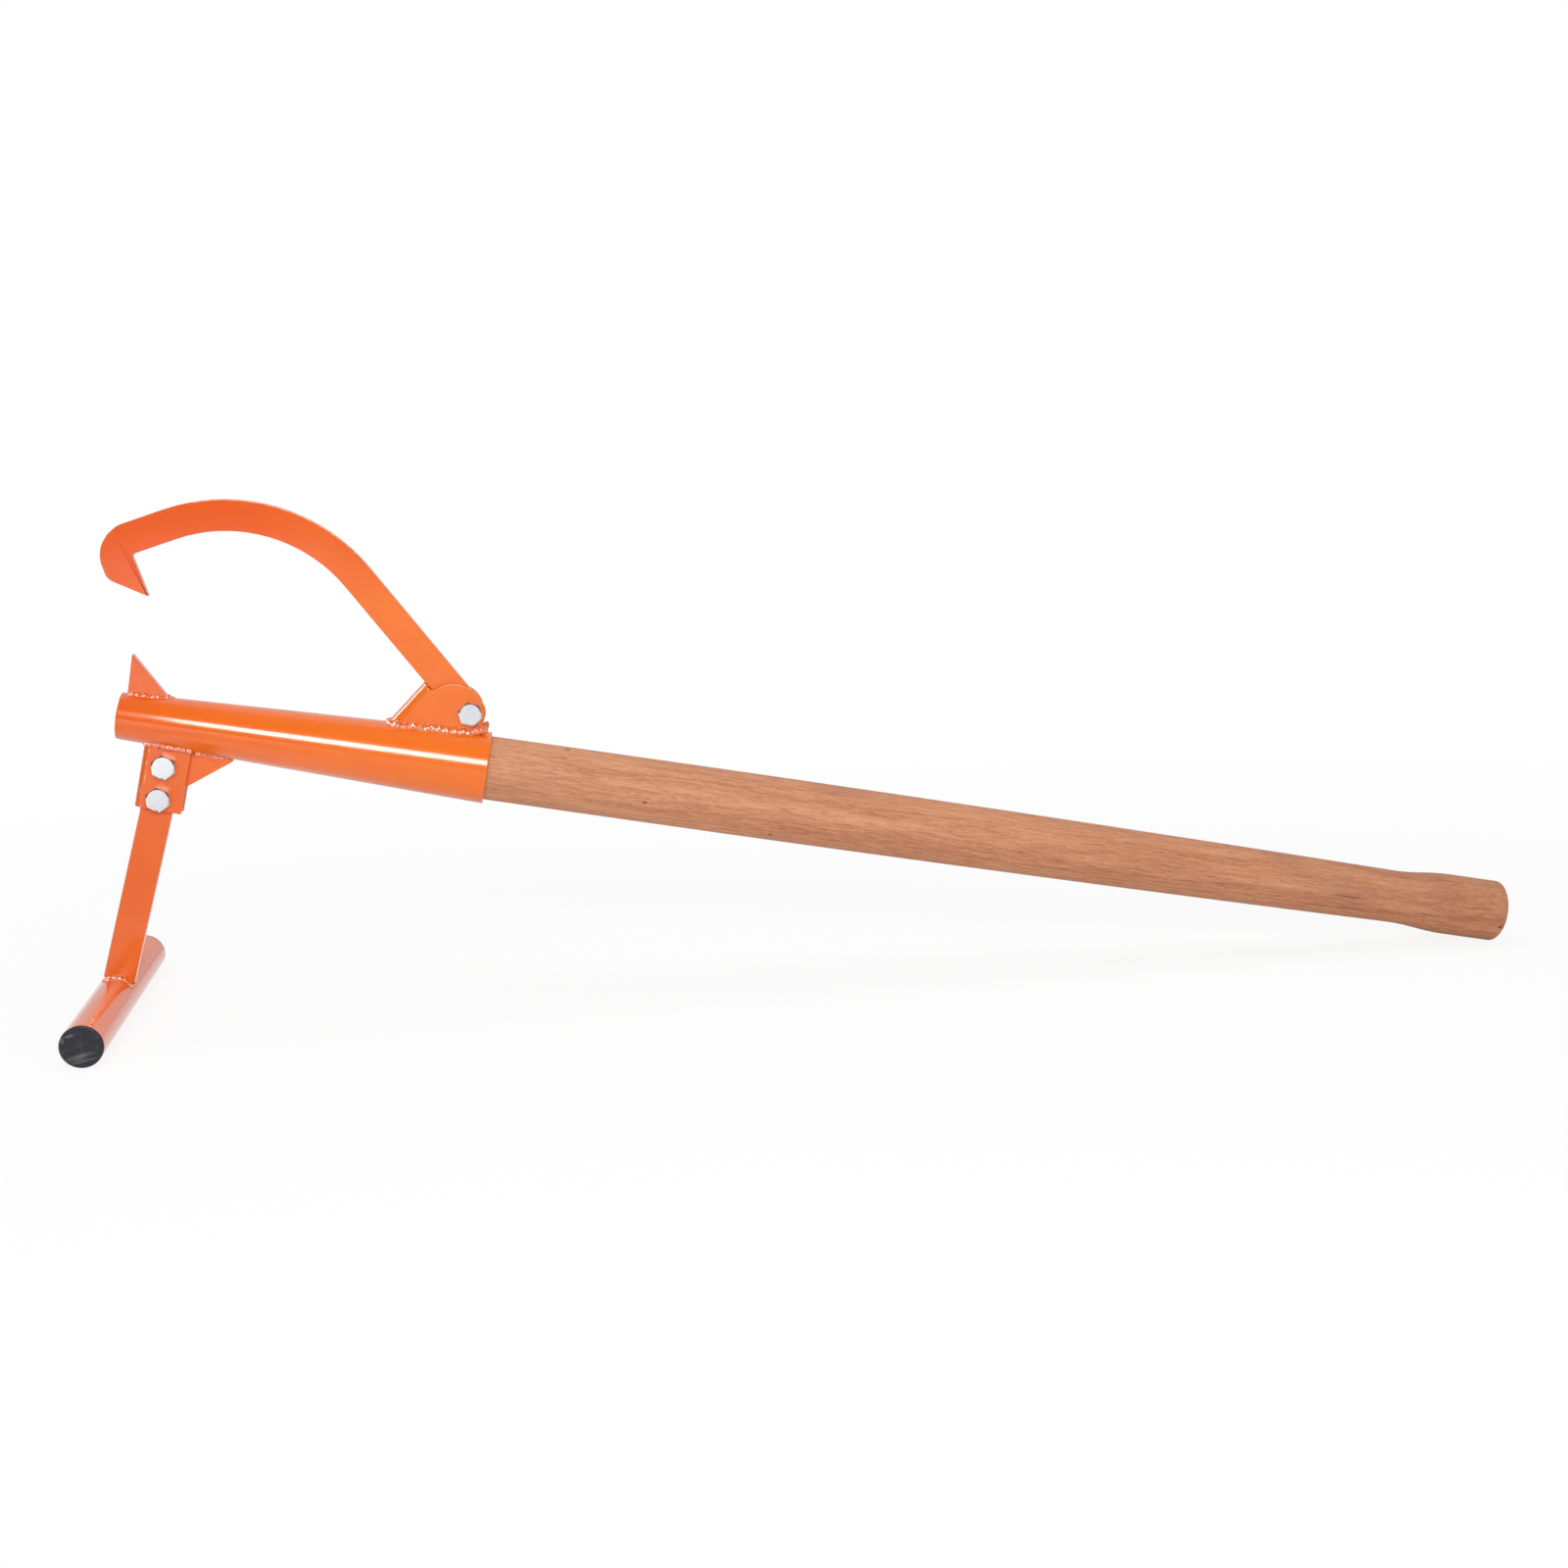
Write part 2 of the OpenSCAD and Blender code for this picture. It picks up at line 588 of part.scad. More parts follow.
module gusset_weld() color(weld_paint) place() difference() {
    union() {
        for (s = [-1, 1]) seat_bead(leg_seat_back + plate_bead + bead_lead, gusset_tip_at - bead_lead,
            s * gusset_t / 2, plate_bead, false);
        bead([gusset_tip_at, bead_lead - gusset_t / 2, -sleeve_r(gusset_tip_at)],
            [gusset_tip_at, gusset_t / 2 - bead_lead, -sleeve_r(gusset_tip_at)],
            plate_bead - bead_slim, false);
    }
    gusset_plate();
    sleeve_body();
}

// Saddle of weld metal that follows the foot bar's top under the leg
saddle_half = asin(leg_w / 2 / (foot_r + 1)) + 8;
module foot_weld() color(weld_paint) place() difference() {
    across(foot) rotate([0, 0, -leg_dir - saddle_half + 180])
        rotate_extrude(angle = 2 * saddle_half) union() {
            translate([foot_r, -leg_t / 2]) square([foot_bead, leg_t]);
            for (s = [-1, 1]) intersection() {
                translate([foot_r, s * leg_t / 2]) circle(foot_bead);
                translate([foot_r - foot_bead, -leg_t]) square([2 * foot_bead, 2 * leg_t]);
            }
        }
    hole(foot, foot_r);
    leg_plate();
}

sleeve();
handle();
tooth();
tooth_weld();
hook_bracket();
hook_bracket_weld();
hook();
hook_bolt();
hook_nut();
hook_nut_ring();
leg_bracket();
leg_bracket_weld();
gusset();
gusset_weld();
upper_leg_bolt();
upper_leg_nut();
upper_leg_nut_ring();
lower_leg_bolt();
lower_leg_nut();
lower_leg_nut_ring();
leg();
foot_bar();
foot_weld();
front_cap();
back_cap();
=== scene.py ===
import json
import math

import bmesh
import bpy
from bpy.props import FloatProperty, FloatVectorProperty, IntProperty, PointerProperty
from bpy.types import NodeSocket, Operator, Panel, PropertyGroup
from mathutils import Matrix, Vector


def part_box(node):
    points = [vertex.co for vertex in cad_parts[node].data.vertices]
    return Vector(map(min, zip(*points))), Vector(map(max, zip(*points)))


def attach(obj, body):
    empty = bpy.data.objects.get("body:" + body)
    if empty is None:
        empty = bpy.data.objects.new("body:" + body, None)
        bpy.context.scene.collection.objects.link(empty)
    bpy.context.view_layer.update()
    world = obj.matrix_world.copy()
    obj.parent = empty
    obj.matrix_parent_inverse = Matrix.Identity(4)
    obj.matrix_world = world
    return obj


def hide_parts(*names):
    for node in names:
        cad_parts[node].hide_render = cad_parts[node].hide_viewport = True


bl_info = {
    "name": "Log lifter",
    "version": (1, 0, 0),
    "blender": (4, 5, 0),
    "location": "View3D > Sidebar > Log lifter",
    "description": "Dresses a log lifter: painted steel, turned wood, welds, fasteners and a stage",
    "category": "Add Mesh",
}

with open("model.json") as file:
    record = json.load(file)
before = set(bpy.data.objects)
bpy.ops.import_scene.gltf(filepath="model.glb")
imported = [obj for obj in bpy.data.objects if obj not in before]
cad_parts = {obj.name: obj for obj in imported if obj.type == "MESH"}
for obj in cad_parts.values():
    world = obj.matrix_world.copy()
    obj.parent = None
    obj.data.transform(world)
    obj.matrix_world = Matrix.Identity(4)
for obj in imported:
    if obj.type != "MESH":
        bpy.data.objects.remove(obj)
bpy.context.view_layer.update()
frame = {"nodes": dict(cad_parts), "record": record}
NODES = frame["nodes"]
RECORD = frame["record"]
BODY_OF = {name: body for body, names in RECORD["behaviour"]["bodies"].items() for name in names}
MOUNTS = {mount["name"]: mount for mount in RECORD["mounts"]}
MM = 0.001

# Directions: along the handle, across the tool, up from the handle, and level with the ground
AXIS = Vector(MOUNTS["butt_end"]["axis"]).normalized()
ACROSS = Vector((0.0, 1.0, 0.0))
RISE = AXIS.cross(ACROSS)
LEVEL = Vector((1.0, 0.0, 0.0))

# The tool's length along the handle, and the middle of its head end
TOOL_LENGTH = 1220 * MM
HEAD = Vector(MOUNTS["butt_end"]["pos_m"]) - AXIS * TOOL_LENGTH

# Sleeve
SLEEVE_LENGTH = 300 * MM
SLEEVE_HEAD_R = 38.5 / 2 * MM
SLEEVE_MOUTH_R = 60.6 / 2 * MM
SLEEVE_WALL = 3.4 * MM

# Handle
HANDLE_RECESS = 12 * MM
HANDLE_PLAY = 0.15 * MM
HANDLE_EDGE = 1 * MM
BELLY_R = 54.8 / 2 * MM
BELLY_AT = SLEEVE_LENGTH + 240 * MM
NECK_R = 47 / 2 * MM
BUTT_R = 54.6 / 2 * MM
FLARE_LENGTH = 52 * MM
BUTT_AT = TOOL_LENGTH - 48 * MM
BUTT_ROUND = 2.5 * MM
NECK_AT = BUTT_AT - FLARE_LENGTH

# Plates and brackets: half their thickness or width, their folds, and places from the head end
PLATE_HALF = 8 / 2 * MM
BRACKET_HALF = 17 / 2 * MM
TOOTH_AT = 4.8 * MM
TOOTH_HEEL = 37.4 * MM
HOOK_BRACKET_FOOT = 213.8 * MM
HOOK_BRACKET_END = 281.5 * MM
HOOK_FOLD = 8 * MM
LEG_BRACKET_FRONT = 22.5 * MM
LEG_BRACKET_BACK = 60.5 * MM
LEG_FOLD = 6.5 * MM
GUSSET_TIP = 94 * MM

# Leg, foot bar and end caps
LEG_HALF = 25.4 / 2 * MM
LEG_LEAN = math.radians(5.3)
FOOT_WALL = 2.5 * MM
FOOT_EDGE = 0.4 * MM
CAP_FLANGE = 2 * MM
CAP_EDGE = 1.1 * MM
CAP_PLUG = 16 * MM
CAP_WALL = 2 * MM
CAP_PLAY = 0.6 * MM
CAP_FINS = 3
FIN_HEIGHT = 0.5 * MM
FIN_HALF = 1 * MM

# The cap's dished face: how deep it lies, and at which share of the radius
CAP_DISH = ((0.25 * MM, 0.3), (0.2 * MM, 0.55), (0.0, 0.68))

# Small edges of the caps and nuts
SMALL_EDGE = 0.1 * MM

# Bolts and lock nuts
BOLT_R = 6 * MM
THREAD_PITCH = 1.75 * MM
THREAD_DEPTH = 0.9 * MM
THREAD_FADE = 0.8 * MM
THREAD_CREST = 0.25
THREAD_TO_TIP = 1.1 * MM
HEX_HALF = 9 * MM
HEX_FACE_R = HEX_HALF - 0.5 * MM
HEX_CORNER_R = HEX_HALF / math.cos(math.pi / 6) - 0.15 * MM
HEX_CHAMFER = math.radians(30)
HEAD_UNDERCUT = 0.25 * MM
NUT_BORE_R = BOLT_R + 0.05 * MM
NUT_SEAT_R = HEX_HALF - 1.2 * MM
NUT_SEAT_SLOPE = 0.4
NUT_COLLAR = 3.2 * MM
NUT_COLLAR_R = HEX_HALF - 0.6 * MM
NUT_CURL = 0.8 * MM
NUT_RING_R = NUT_COLLAR_R - 1 * MM
NUT_RING_H = 2.6 * MM
NUT_RING_EDGE = 0.3 * MM

# The bolt's end: distances from its tip, each with how much thinner than the shank it is there
BOLT_END = ((1.0 * MM, 0.3 * MM), (0.15 * MM, 1.1 * MM), (0.0, 1.4 * MM))

# Turn of each bolt's head from the CAD's, as the photograph shows it
HEAD_TURNS = {
    "hook": math.radians(12.5),
    "upper_leg": math.radians(-25),
    "lower_leg": math.radians(-25),
}

# Welds: the drops' distance, their unevenness, the bead's fineness, a drop's flatness and the grain
WELD_PITCH = 2.4 * MM
WELD_UNEVENNESS = 0.22
WELD_VOXEL = 0.3 * MM
DROP_FLATNESS = 0.65
WELD_GRAIN = 0.5 * MM

# How far the beads lie out from the plates and the leg, and in from the leg's two edges, and the
# length of the stretch at a bracket's rear ends over which the bead changes its size
PLATE_BEAD_OUT = 0.4 * MM
LEG_BEAD_OUT = 0.2 * MM
LEG_BEAD_IN = 1.5 * MM
BRACKET_BEAD_END = 7 * MM

# Heap of weld behind the hook bracket's cheeks: distance from the head end, lift off the sleeve, size
HEAP = ((294.2 * MM, 4.6 * MM, 3.6 * MM), (291.4 * MM, 5.2 * MM, 3.9 * MM),
        (288.6 * MM, 4.2 * MM, 4.1 * MM), (286.0 * MM, 2.2 * MM, 4.1 * MM))
HEAP_OUT = 0.4 * MM

# Facets round the sleeve, the handle and foot bar, and the small turned pieces
SLEEVE_SIDES = 160
BAR_SIDES = 128
SMALL_SIDES = 96

# Plates copied from the CAD: distance of merged points, angle of a flat face, least angle that is
# rounded, and clearance from the sleeve inside which an edge stays sharp
MERGE_DISTANCE = 0.005 * MM
FLAT_ANGLE = math.radians(0.5)
ROUNDED_ANGLE = math.radians(30)
SLEEVE_CLEARANCE = 0.6 * MM

# Angles past which an edge stays sharp: turned pieces, plates, and bolts and nuts
SHARP = 35.0
SHARP_PLATE = 28.0
SHARP_HEX = 24.0

# Camera of the photograph, in the object's frame
CAMERA_PLACE = Vector((-0.24755, -1.6409, 0.49199))
CAMERA_FORWARD = Vector((0.1255, 0.9739, -0.1891))
CAMERA_UP = Vector((0.0434, 0.185, 0.9818))
SENSOR_WIDTH = 36.0

# Lamps: width, height and place, in metres. All face the same point on the tool.
LAMP_TARGET = Vector((-0.1, 0.0, 0.2))
KEY_LAMP = (1.9, 0.36, (-0.2, -1.85, 1.05))
STRIP_LAMP = (1.1, 0.56, (-0.4, -1.9, 1.06))
SIDE_LAMP = (1.0, 1.0, (-2.1, 0.3, 1.4))
TOP_LAMP = (2.4, 1.6, (-0.1, 0.1, 2.3))

# Brightness in reflections, as shares of white: the room behind the tool, the floor further out in
# front and behind, and what the floor by the foot and at the far left adds
ROOM_BEHIND = 0.76
FLOOR_FRONT = 0.82
FLOOR_BEHIND = 0.72
FLOOR_BY_FOOT = 0.32
FLOOR_FAR_LEFT = 0.6


def linear(red, green, blue):
    """Linear colour of an 8-bit screen colour."""
    def one(value):
        value /= 255
        return value / 12.92 if value <= 0.04045 else ((value + 0.055) / 1.055) ** 2.4
    return one(red), one(green), one(blue)


# Second colours of the small pieces: dull zinc, rubbed plastic and aged nylon
ZINC_DULL = linear(188, 192, 202)
PLASTIC_RUBBED = linear(104, 102, 106)
NYLON_AGED = linear(204, 204, 192)


def colour_property(name, description, red, green, blue):
    """Property for a colour, its default given as an 8-bit screen colour."""
    return FloatVectorProperty(
        name=name, description=description, default=linear(red, green, blue),
        min=0.0, max=1.0, size=3, subtype="COLOR")


class SteelSizes(PropertyGroup):
    bar_edge: FloatProperty(
        name="Bar edge", description="Rounding of the bars' edges",
        default=0.7 * MM, min=0.1 * MM, max=1.5 * MM, unit="LENGTH")
    plate_edge: FloatProperty(
        name="Plate edge", description="Rounding of the cut plates' edges",
        default=0.5 * MM, min=0.1 * MM, max=1 * MM, unit="LENGTH")
    sheet_edge: FloatProperty(
        name="Sheet edge", description="Rounding of the folded brackets' edges",
        default=0.8 * MM, min=0.1 * MM, max=1 * MM, unit="LENGTH")
    rim_round: FloatProperty(
        name="Rim rounding", description="Rounding of the sleeve's two rims",
        default=0.8 * MM, min=0.2 * MM, max=1.5 * MM, unit="LENGTH")


class WeldSizes(PropertyGroup):
    pitch: FloatProperty(
        name="Ripple pitch", description="Distance between the ripples of a weld bead",
        default=WELD_PITCH, min=0.8 * MM, max=5 * MM, unit="LENGTH")
    unevenness: FloatProperty(
        name="Unevenness", description="How much the ripples differ in size and place",
        default=WELD_UNEVENNESS, min=0.0, max=0.5, subtype="FACTOR")
    voxel: FloatProperty(
        name="Voxel size", description="Fineness of the weld beads' surface",
        default=WELD_VOXEL, min=0.15 * MM, max=1 * MM, unit="LENGTH")
    seed: IntProperty(
        name="Seed", description="Seed of the ripples' unevenness", default=7, min=0)


class FinishColours(PropertyGroup):
    paint: colour_property("Paint", "Colour of the powder coat", 240, 118, 24)
    # Deeper colour of the paint, used on the hook's arch and towards the head end
    paint_deep: colour_property("Paint, deep", "Colour of the coat where it lies thick", 229, 87, 6)
    chip: colour_property("Paint chips", "Colour of the small chips in the powder coat", 84, 50, 40)
    scratch: colour_property(
        "Paint scratches", "Colour of the scratches in the powder coat", 240, 214, 204)
    wood: colour_property("Wood", "Colour of the pale early wood", 213, 153, 116)
    wood_dark: colour_property("Wood, dark", "Colour of the darker fibres", 170, 106, 74)
    wood_mark: colour_property("Wood, marks", "Colour of pores, knots and dark streaks", 122, 68, 44)
    wood_cloud: colour_property("Wood, clouds", "Colour of the dull patches round knots", 150, 104, 92)
    zinc: colour_property("Zinc", "Colour of the plated fasteners", 250, 252, 255)
    plastic: colour_property("Plastic", "Colour of the end caps", 34, 33, 39)
    nylon: colour_property("Nylon", "Colour of the lock nuts' rings", 226, 226, 216)


class StageSizes(PropertyGroup):
    floor_size: FloatProperty(
        name="Floor", description="Width of the floor",
        default=12.0, min=4.0, max=40.0, unit="LENGTH")
    key_power: FloatProperty(
        name="Key lamp", description="Power of the soft lamp above the camera",
        default=25.0, min=0.0, max=200.0)
    strip_power: FloatProperty(
        name="Strip lamp", description="Power of the long lamp that only shows in reflections",
        default=31.0, min=0.0, max=400.0)
    side_power: FloatProperty(
        name="Side lamp", description="Power of the head end's lamp that only shows in reflections",
        default=28.0, min=0.0, max=400.0)
    top_power: FloatProperty(
        name="Top lamp", description="Power of the wide lamp overhead",
        default=22.0, min=0.0, max=200.0)
    sky: FloatProperty(
        name="Room light", description="Strength of the even light from all sides",
        default=0.35, min=0.0, max=1.0)
    room_mirror: FloatProperty(
        name="Room in reflections", description="How bright the room behind the camera looks mirrored",
        default=0.1, min=0.0, max=1.0, subtype="FACTOR")
    floor_mirror: FloatProperty(
        name="Floor in reflections", description="How bright the floor under the tool looks mirrored",
        default=0.58, min=0.0, max=1.0, subtype="FACTOR")
    lens: FloatProperty(
        name="Lens", description="Focal length of the camera's lens in millimetres",
        default=45.0, min=20.0, max=120.0)


class LogLifter(PropertyGroup):
    steel: PointerProperty(type=SteelSizes)
    weld: PointerProperty(type=WeldSizes)
    finish: PointerProperty(type=FinishColours)
    stage: PointerProperty(type=StageSizes)


def sleeve_r(x):
    """Outer radius of the sleeve, x along the handle from the head end."""
    return SLEEVE_HEAD_R + (SLEEVE_MOUTH_R - SLEEVE_HEAD_R) * x / SLEEVE_LENGTH


def at(x, y=0.0, z=0.0):
    """Place of a point given along the handle, across the tool and up from the handle."""
    return HEAD + AXIS * x + ACROSS * y + RISE * z


def middle_of(source):
    """Middle of a CAD node's box, moved to the tool's middle plane."""
    low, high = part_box(source)
    middle = (low + high) / 2
    middle.y = 0.0
    return middle


FOOT = middle_of("foot_bar")
FOOT_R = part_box("foot_bar")[1].z - FOOT.z


def node(tree, kind, links=None, **settings):
    """Adds a node, sets its settings and fills its inputs with values or other nodes' outputs."""
    made = tree.nodes.new(kind)
    for key, value in settings.items():
        setattr(made, key, value)
    for key, value in (links or {}).items():
        socket = made.inputs[key]
        if isinstance(value, NodeSocket):
            tree.links.new(value, socket)
        else:
            socket.default_value = value
    return made


def math_node(tree, operation, *values):
    return node(tree, "ShaderNodeMath", dict(enumerate(values)), operation=operation).outputs[0]


def vector_math(tree, operation, *values):
    made = node(tree, "ShaderNodeVectorMath", dict(enumerate(values)), operation=operation)
    return made.outputs["Value" if operation == "LENGTH" else "Vector"]


def scaled(tree, vector, factor):
    links = {0: vector, "Scale": factor}
    return node(tree, "ShaderNodeVectorMath", links, operation="SCALE").outputs[0]


def weighted_sum(tree, base, *parts):
    """Adds patterns to a base value, each by its own weight."""
    total = base
    for pattern, weight in parts:
        total = math_node(tree, "MULTIPLY_ADD", pattern, weight, total)
    return total


def mix_colours(tree, factor, first, second):
    """Mixes two colours, each another node's output or three numbers."""
    ends = [end if isinstance(end, NodeSocket) else (*end, 1.0) for end in (first, second)]
    links = {0: factor, 6: ends[0], 7: ends[1]}
    return node(tree, "ShaderNodeMix", links, data_type="RGBA").outputs[2]


def mix_values(tree, factor, first, second):
    return node(tree, "ShaderNodeMix", {0: factor, 2: first, 3: second}).outputs[0]


def map_range(tree, value, low, high, to_low=0.0, to_high=1.0):
    links = {"Value": value, "From Min": low, "From Max": high, "To Min": to_low, "To Max": to_high}
    return node(tree, "ShaderNodeMapRange", links).outputs[0]


def noise(tree, vector, scale, detail=2.0, roughness=0.5):
    links = {"Vector": vector, "Scale": scale, "Detail": detail, "Roughness": roughness}
    return node(tree, "ShaderNodeTexNoise", links).outputs[0]


def bump(tree, height, strength, distance):
    links = {"Height": height, "Strength": strength, "Distance": distance}
    return node(tree, "ShaderNodeBump", links).outputs[0]


def stretched(tree, place, shrink):
    """Coordinates in which a pattern comes out long along the first axis."""
    return node(tree, "ShaderNodeMapping", {"Vector": place, "Scale": (shrink, 1.0, 1.0)}).outputs[0]


def drawn_out(tree, place, shrink, scale, detail, roughness, low, high):
    """Noise drawn out along the first axis and cut to a range of its values."""
    pattern = noise(tree, stretched(tree, place, shrink), scale, detail, roughness)
    return map_range(tree, pattern, low, high)


def tilted(tree, vector, angle):
    """A vector turned about the direction across the tool."""
    return node(tree, "ShaderNodeVectorRotate", {"Vector": vector, "Angle": angle},
                rotation_type="Y_AXIS").outputs[0]


def object_place(tree):
    return node(tree, "ShaderNodeTexCoord").outputs["Object"]


def handle_place(tree):
    """Object coordinates turned so that the first axis runs along the handle from the head end."""
    shifted = vector_math(tree, "SUBTRACT", object_place(tree), HEAD)
    return tilted(tree, shifted, math.atan2(AXIS.z, AXIS.x))


def node_group(name, kind, inputs, outputs, build):
    """A node group, built once: inputs are (name, kind, default), outputs (name, kind).

    The function build adds the nodes and returns the sockets for the outputs by name.
    """
    if name in bpy.data.node_groups:
        return bpy.data.node_groups[name]
    tree = bpy.data.node_groups.new(name, kind)
    for title, socket_kind, default in inputs:
        socket = tree.interface.new_socket(name=title, in_out="INPUT", socket_type=socket_kind)
        if default is not None:
            socket.default_value = default
    for title, socket_kind in outputs:
        tree.interface.new_socket(name=title, in_out="OUTPUT", socket_type=socket_kind)
    entry = node(tree, "NodeGroupInput").outputs
    leave = node(tree, "NodeGroupOutput").inputs
    for title, socket in build(tree, entry).items():
        tree.links.new(socket, leave[title])
    return tree


FLOAT = "NodeSocketFloat"
VECTOR = "NodeSocketVector"
GEOMETRY = "NodeSocketGeometry"


def coat_relief(tree, entry):
    """Orange peel of a powder coat: a fine dimpled skin over a slow swell."""
    peel = noise(tree, entry["Vector"], entry["Peel Scale"], 2.0, 0.45)
    swell = noise(tree, entry["Vector"], entry["Swell Scale"], 2.0, 0.5)
    height = weighted_sum(tree, peel, (swell, 1.1))
    return {"Height": height, "Mottle": map_range(tree, swell, 0.3, 0.7)}


def add_coat_relief(tree, place, peel_scale):
    """Places the coat's relief in a material and returns its outputs."""
    group = node_group(
        "coat relief", "ShaderNodeTree",
        [("Vector", VECTOR, None), ("Peel Scale", FLOAT, 700.0), ("Swell Scale", FLOAT, 60.0)],
        [("Height", FLOAT), ("Mottle", FLOAT)], coat_relief)
    links = {"Vector": place, "Peel Scale": peel_scale, "Swell Scale": 40.0}
    return node(tree, "ShaderNodeGroup", links, node_tree=group).outputs


def scuff_marks(tree, entry):
    """Thin scratches that run along the first axis, broken up into patches."""
    lines = drawn_out(tree, entry["Vector"], 0.12, entry["Scale"], 3.0, 0.6, 0.6, 0.68)
    coarse = math_node(tree, "MULTIPLY", entry["Scale"], 0.12)
    patches = map_range(tree, noise(tree, entry["Vector"], coarse, 2.0), 0.5, 0.62)
    both = math_node(tree, "MULTIPLY", lines, patches)
    return {"Mask": math_node(tree, "MULTIPLY", both, entry["Amount"])}


def add_scuffs(tree, place, scale, amount):
    """Places the scuff marks in a material and returns their mask."""
    group = node_group(
        "scuff marks", "ShaderNodeTree",
        [("Vector", VECTOR, None), ("Scale", FLOAT, 400.0), ("Amount", FLOAT, 1.0)],
        [("Mask", FLOAT)], scuff_marks)
    links = {"Vector": place, "Scale": scale, "Amount": amount}
    return node(tree, "ShaderNodeGroup", links, node_tree=group).outputs[0]


def rounded_mark(tree, entry):
    """Mask of one rounded mark, 1 in its middle and fading out at its edge."""
    shift = vector_math(tree, "SUBTRACT", entry["Vector"], entry["Centre"])
    reach = vector_math(tree, "LENGTH", vector_math(tree, "MULTIPLY", shift, entry["Squeeze"]))
    outer = math_node(tree, "ADD", 1.0, entry["Softness"])
    inner = math_node(tree, "SUBTRACT", 1.0, entry["Softness"])
    return {"Mask": map_range(tree, reach, outer, inner)}


def add_marks(tree, place, marks, soft):
    """Places rounded marks in a material and returns their mask; soft is how far their edge fades."""
    group = node_group(
        "rounded mark", "ShaderNodeTree",
        [("Vector", VECTOR, None), ("Centre", VECTOR, None), ("Squeeze", VECTOR, None),
         ("Softness", FLOAT, 0.5)],
        [("Mask", FLOAT)], rounded_mark)
    total = None
    for mark in marks:
        links = {"Vector": place, "Centre": Vector(mark[:3]) * MM,
                 "Squeeze": [1 / (half * MM) for half in mark[3:]], "Softness": soft}
        mask = node(tree, "ShaderNodeGroup", links, node_tree=group).outputs[0]
        total = mask if total is None else math_node(tree, "MAXIMUM", total, mask)
    return total


def material(name, **constants):
    """A Principled material with its constant sockets set; returns it, its tree and its shader."""
    made = bpy.data.materials.new(name)
    made.use_nodes = True
    shader = made.node_tree.nodes["Principled BSDF"]
    for title, value in constants.items():
        shader.inputs[title.replace("_", " ")].default_value = value
    return made, made.node_tree, shader


def feed(tree, shader, **sources):
    for title, socket in sources.items():
        tree.links.new(socket, shader.inputs[title.replace("_", " ")])


# Marks in the paint, in millimetres: along the handle, across, up, then half their size each way.
# Two dark chips on the sleeve, and scratches down the leg bracket's fold.
CHIPS = ((131.3, 0.0, 24.2, 10.0, 4.0, 0.6), (107.2, -22.1, 6.4, 1.2, 1.0, 0.4))
SCRATCHES = ((26.6, -8.4, -34.5, 0.45, 2.0, 2.4), (26.5, -8.4, -48.0, 0.45, 2.0, 3.4),
             (27.4, -8.5, -24.0, 0.4, 2.0, 2.2), (24.0, -7.5, -58.0, 0.4, 2.0, 3.0))


def paint_material(name, settings, peel_scale, peel_depth, roughness, coat_ior):
    """Glossy powder coat: a deeper colour in places, orange peel and a clear surface.

    The colour is deepest on the hook's arch and grows deeper towards the head end.
    """
    made, tree, shader = material(name, Coat_Weight=0.8, Coat_Roughness=0.095, Coat_IOR=coat_ior,
                                  IOR=1.45)
    place = object_place(tree)
    relief = add_coat_relief(tree, place, peel_scale)
    axes = node(tree, "ShaderNodeSeparateXYZ", {0: place}).outputs
    cloudy = map_range(tree, noise(tree, place, 9.0), 0.3, 0.7)
    at_head = map_range(tree, axes[0], -0.42, -0.55)
    on_arch = map_range(tree, axes[2], 0.34, 0.39)
    # Deeper colour: in slow clouds, with the peel's mottle, towards the head end and on the hook's arch
    depth = weighted_sum(tree, 0.0, (cloudy, 0.3), (relief["Mottle"], 0.08), (at_head, 0.45),
                         (on_arch, 0.6))
    colour = mix_colours(tree, depth, settings.paint, settings.paint_deep)
    on_tool = handle_place(tree)
    broken = map_range(tree, noise(tree, on_tool, 900.0), 0.4, 0.55)
    for marks, soft, strength, ink in ((CHIPS, 0.4, 0.8, settings.chip),
                                       (SCRATCHES, 0.5, 0.55, settings.scratch)):
        mask = math_node(tree, "MULTIPLY", add_marks(tree, on_tool, marks, soft), broken)
        colour = mix_colours(tree, math_node(tree, "MULTIPLY", mask, strength), colour, ink)
    rough = map_range(tree, noise(tree, place, 90.0), 0.3, 0.7, roughness - 0.02, roughness + 0.03)
    normal = bump(tree, relief["Height"], 0.5, peel_depth)
    feed(tree, shader, Base_Color=colour, Roughness=rough, Normal=normal)
    return made


# Patterns of the wood: shrink along the handle, scale, detail, roughness, and the range kept
FIBRES = (0.1, 620.0, 5.0, 0.75, 0.32, 0.68)
FLECKS = (0.2, 800.0, 2.0, 0.6, 0.4, 0.66)
STREAKS = (0.06, 620.0, 3.0, 0.62, 0.42, 0.7)
BANDS = (0.1, 75.0, 3.0, 0.6, 0.35, 0.65)
PORES = (0.05, 1900.0, 1.0, 0.5, 0.63, 0.7)
TICKS = (0.05, 640.0, 2.0, 0.5, 0.66, 0.72)

# Growth layers: their spacing, the tree's heart beside the handle, and how far they wander
LAYER_SPACING = 4.6 * MM
HEART = (0.0, 52 * MM, -26 * MM)
LAYER_WANDER = 22 * MM
LAYER_RIPPLE = 1.6 * MM
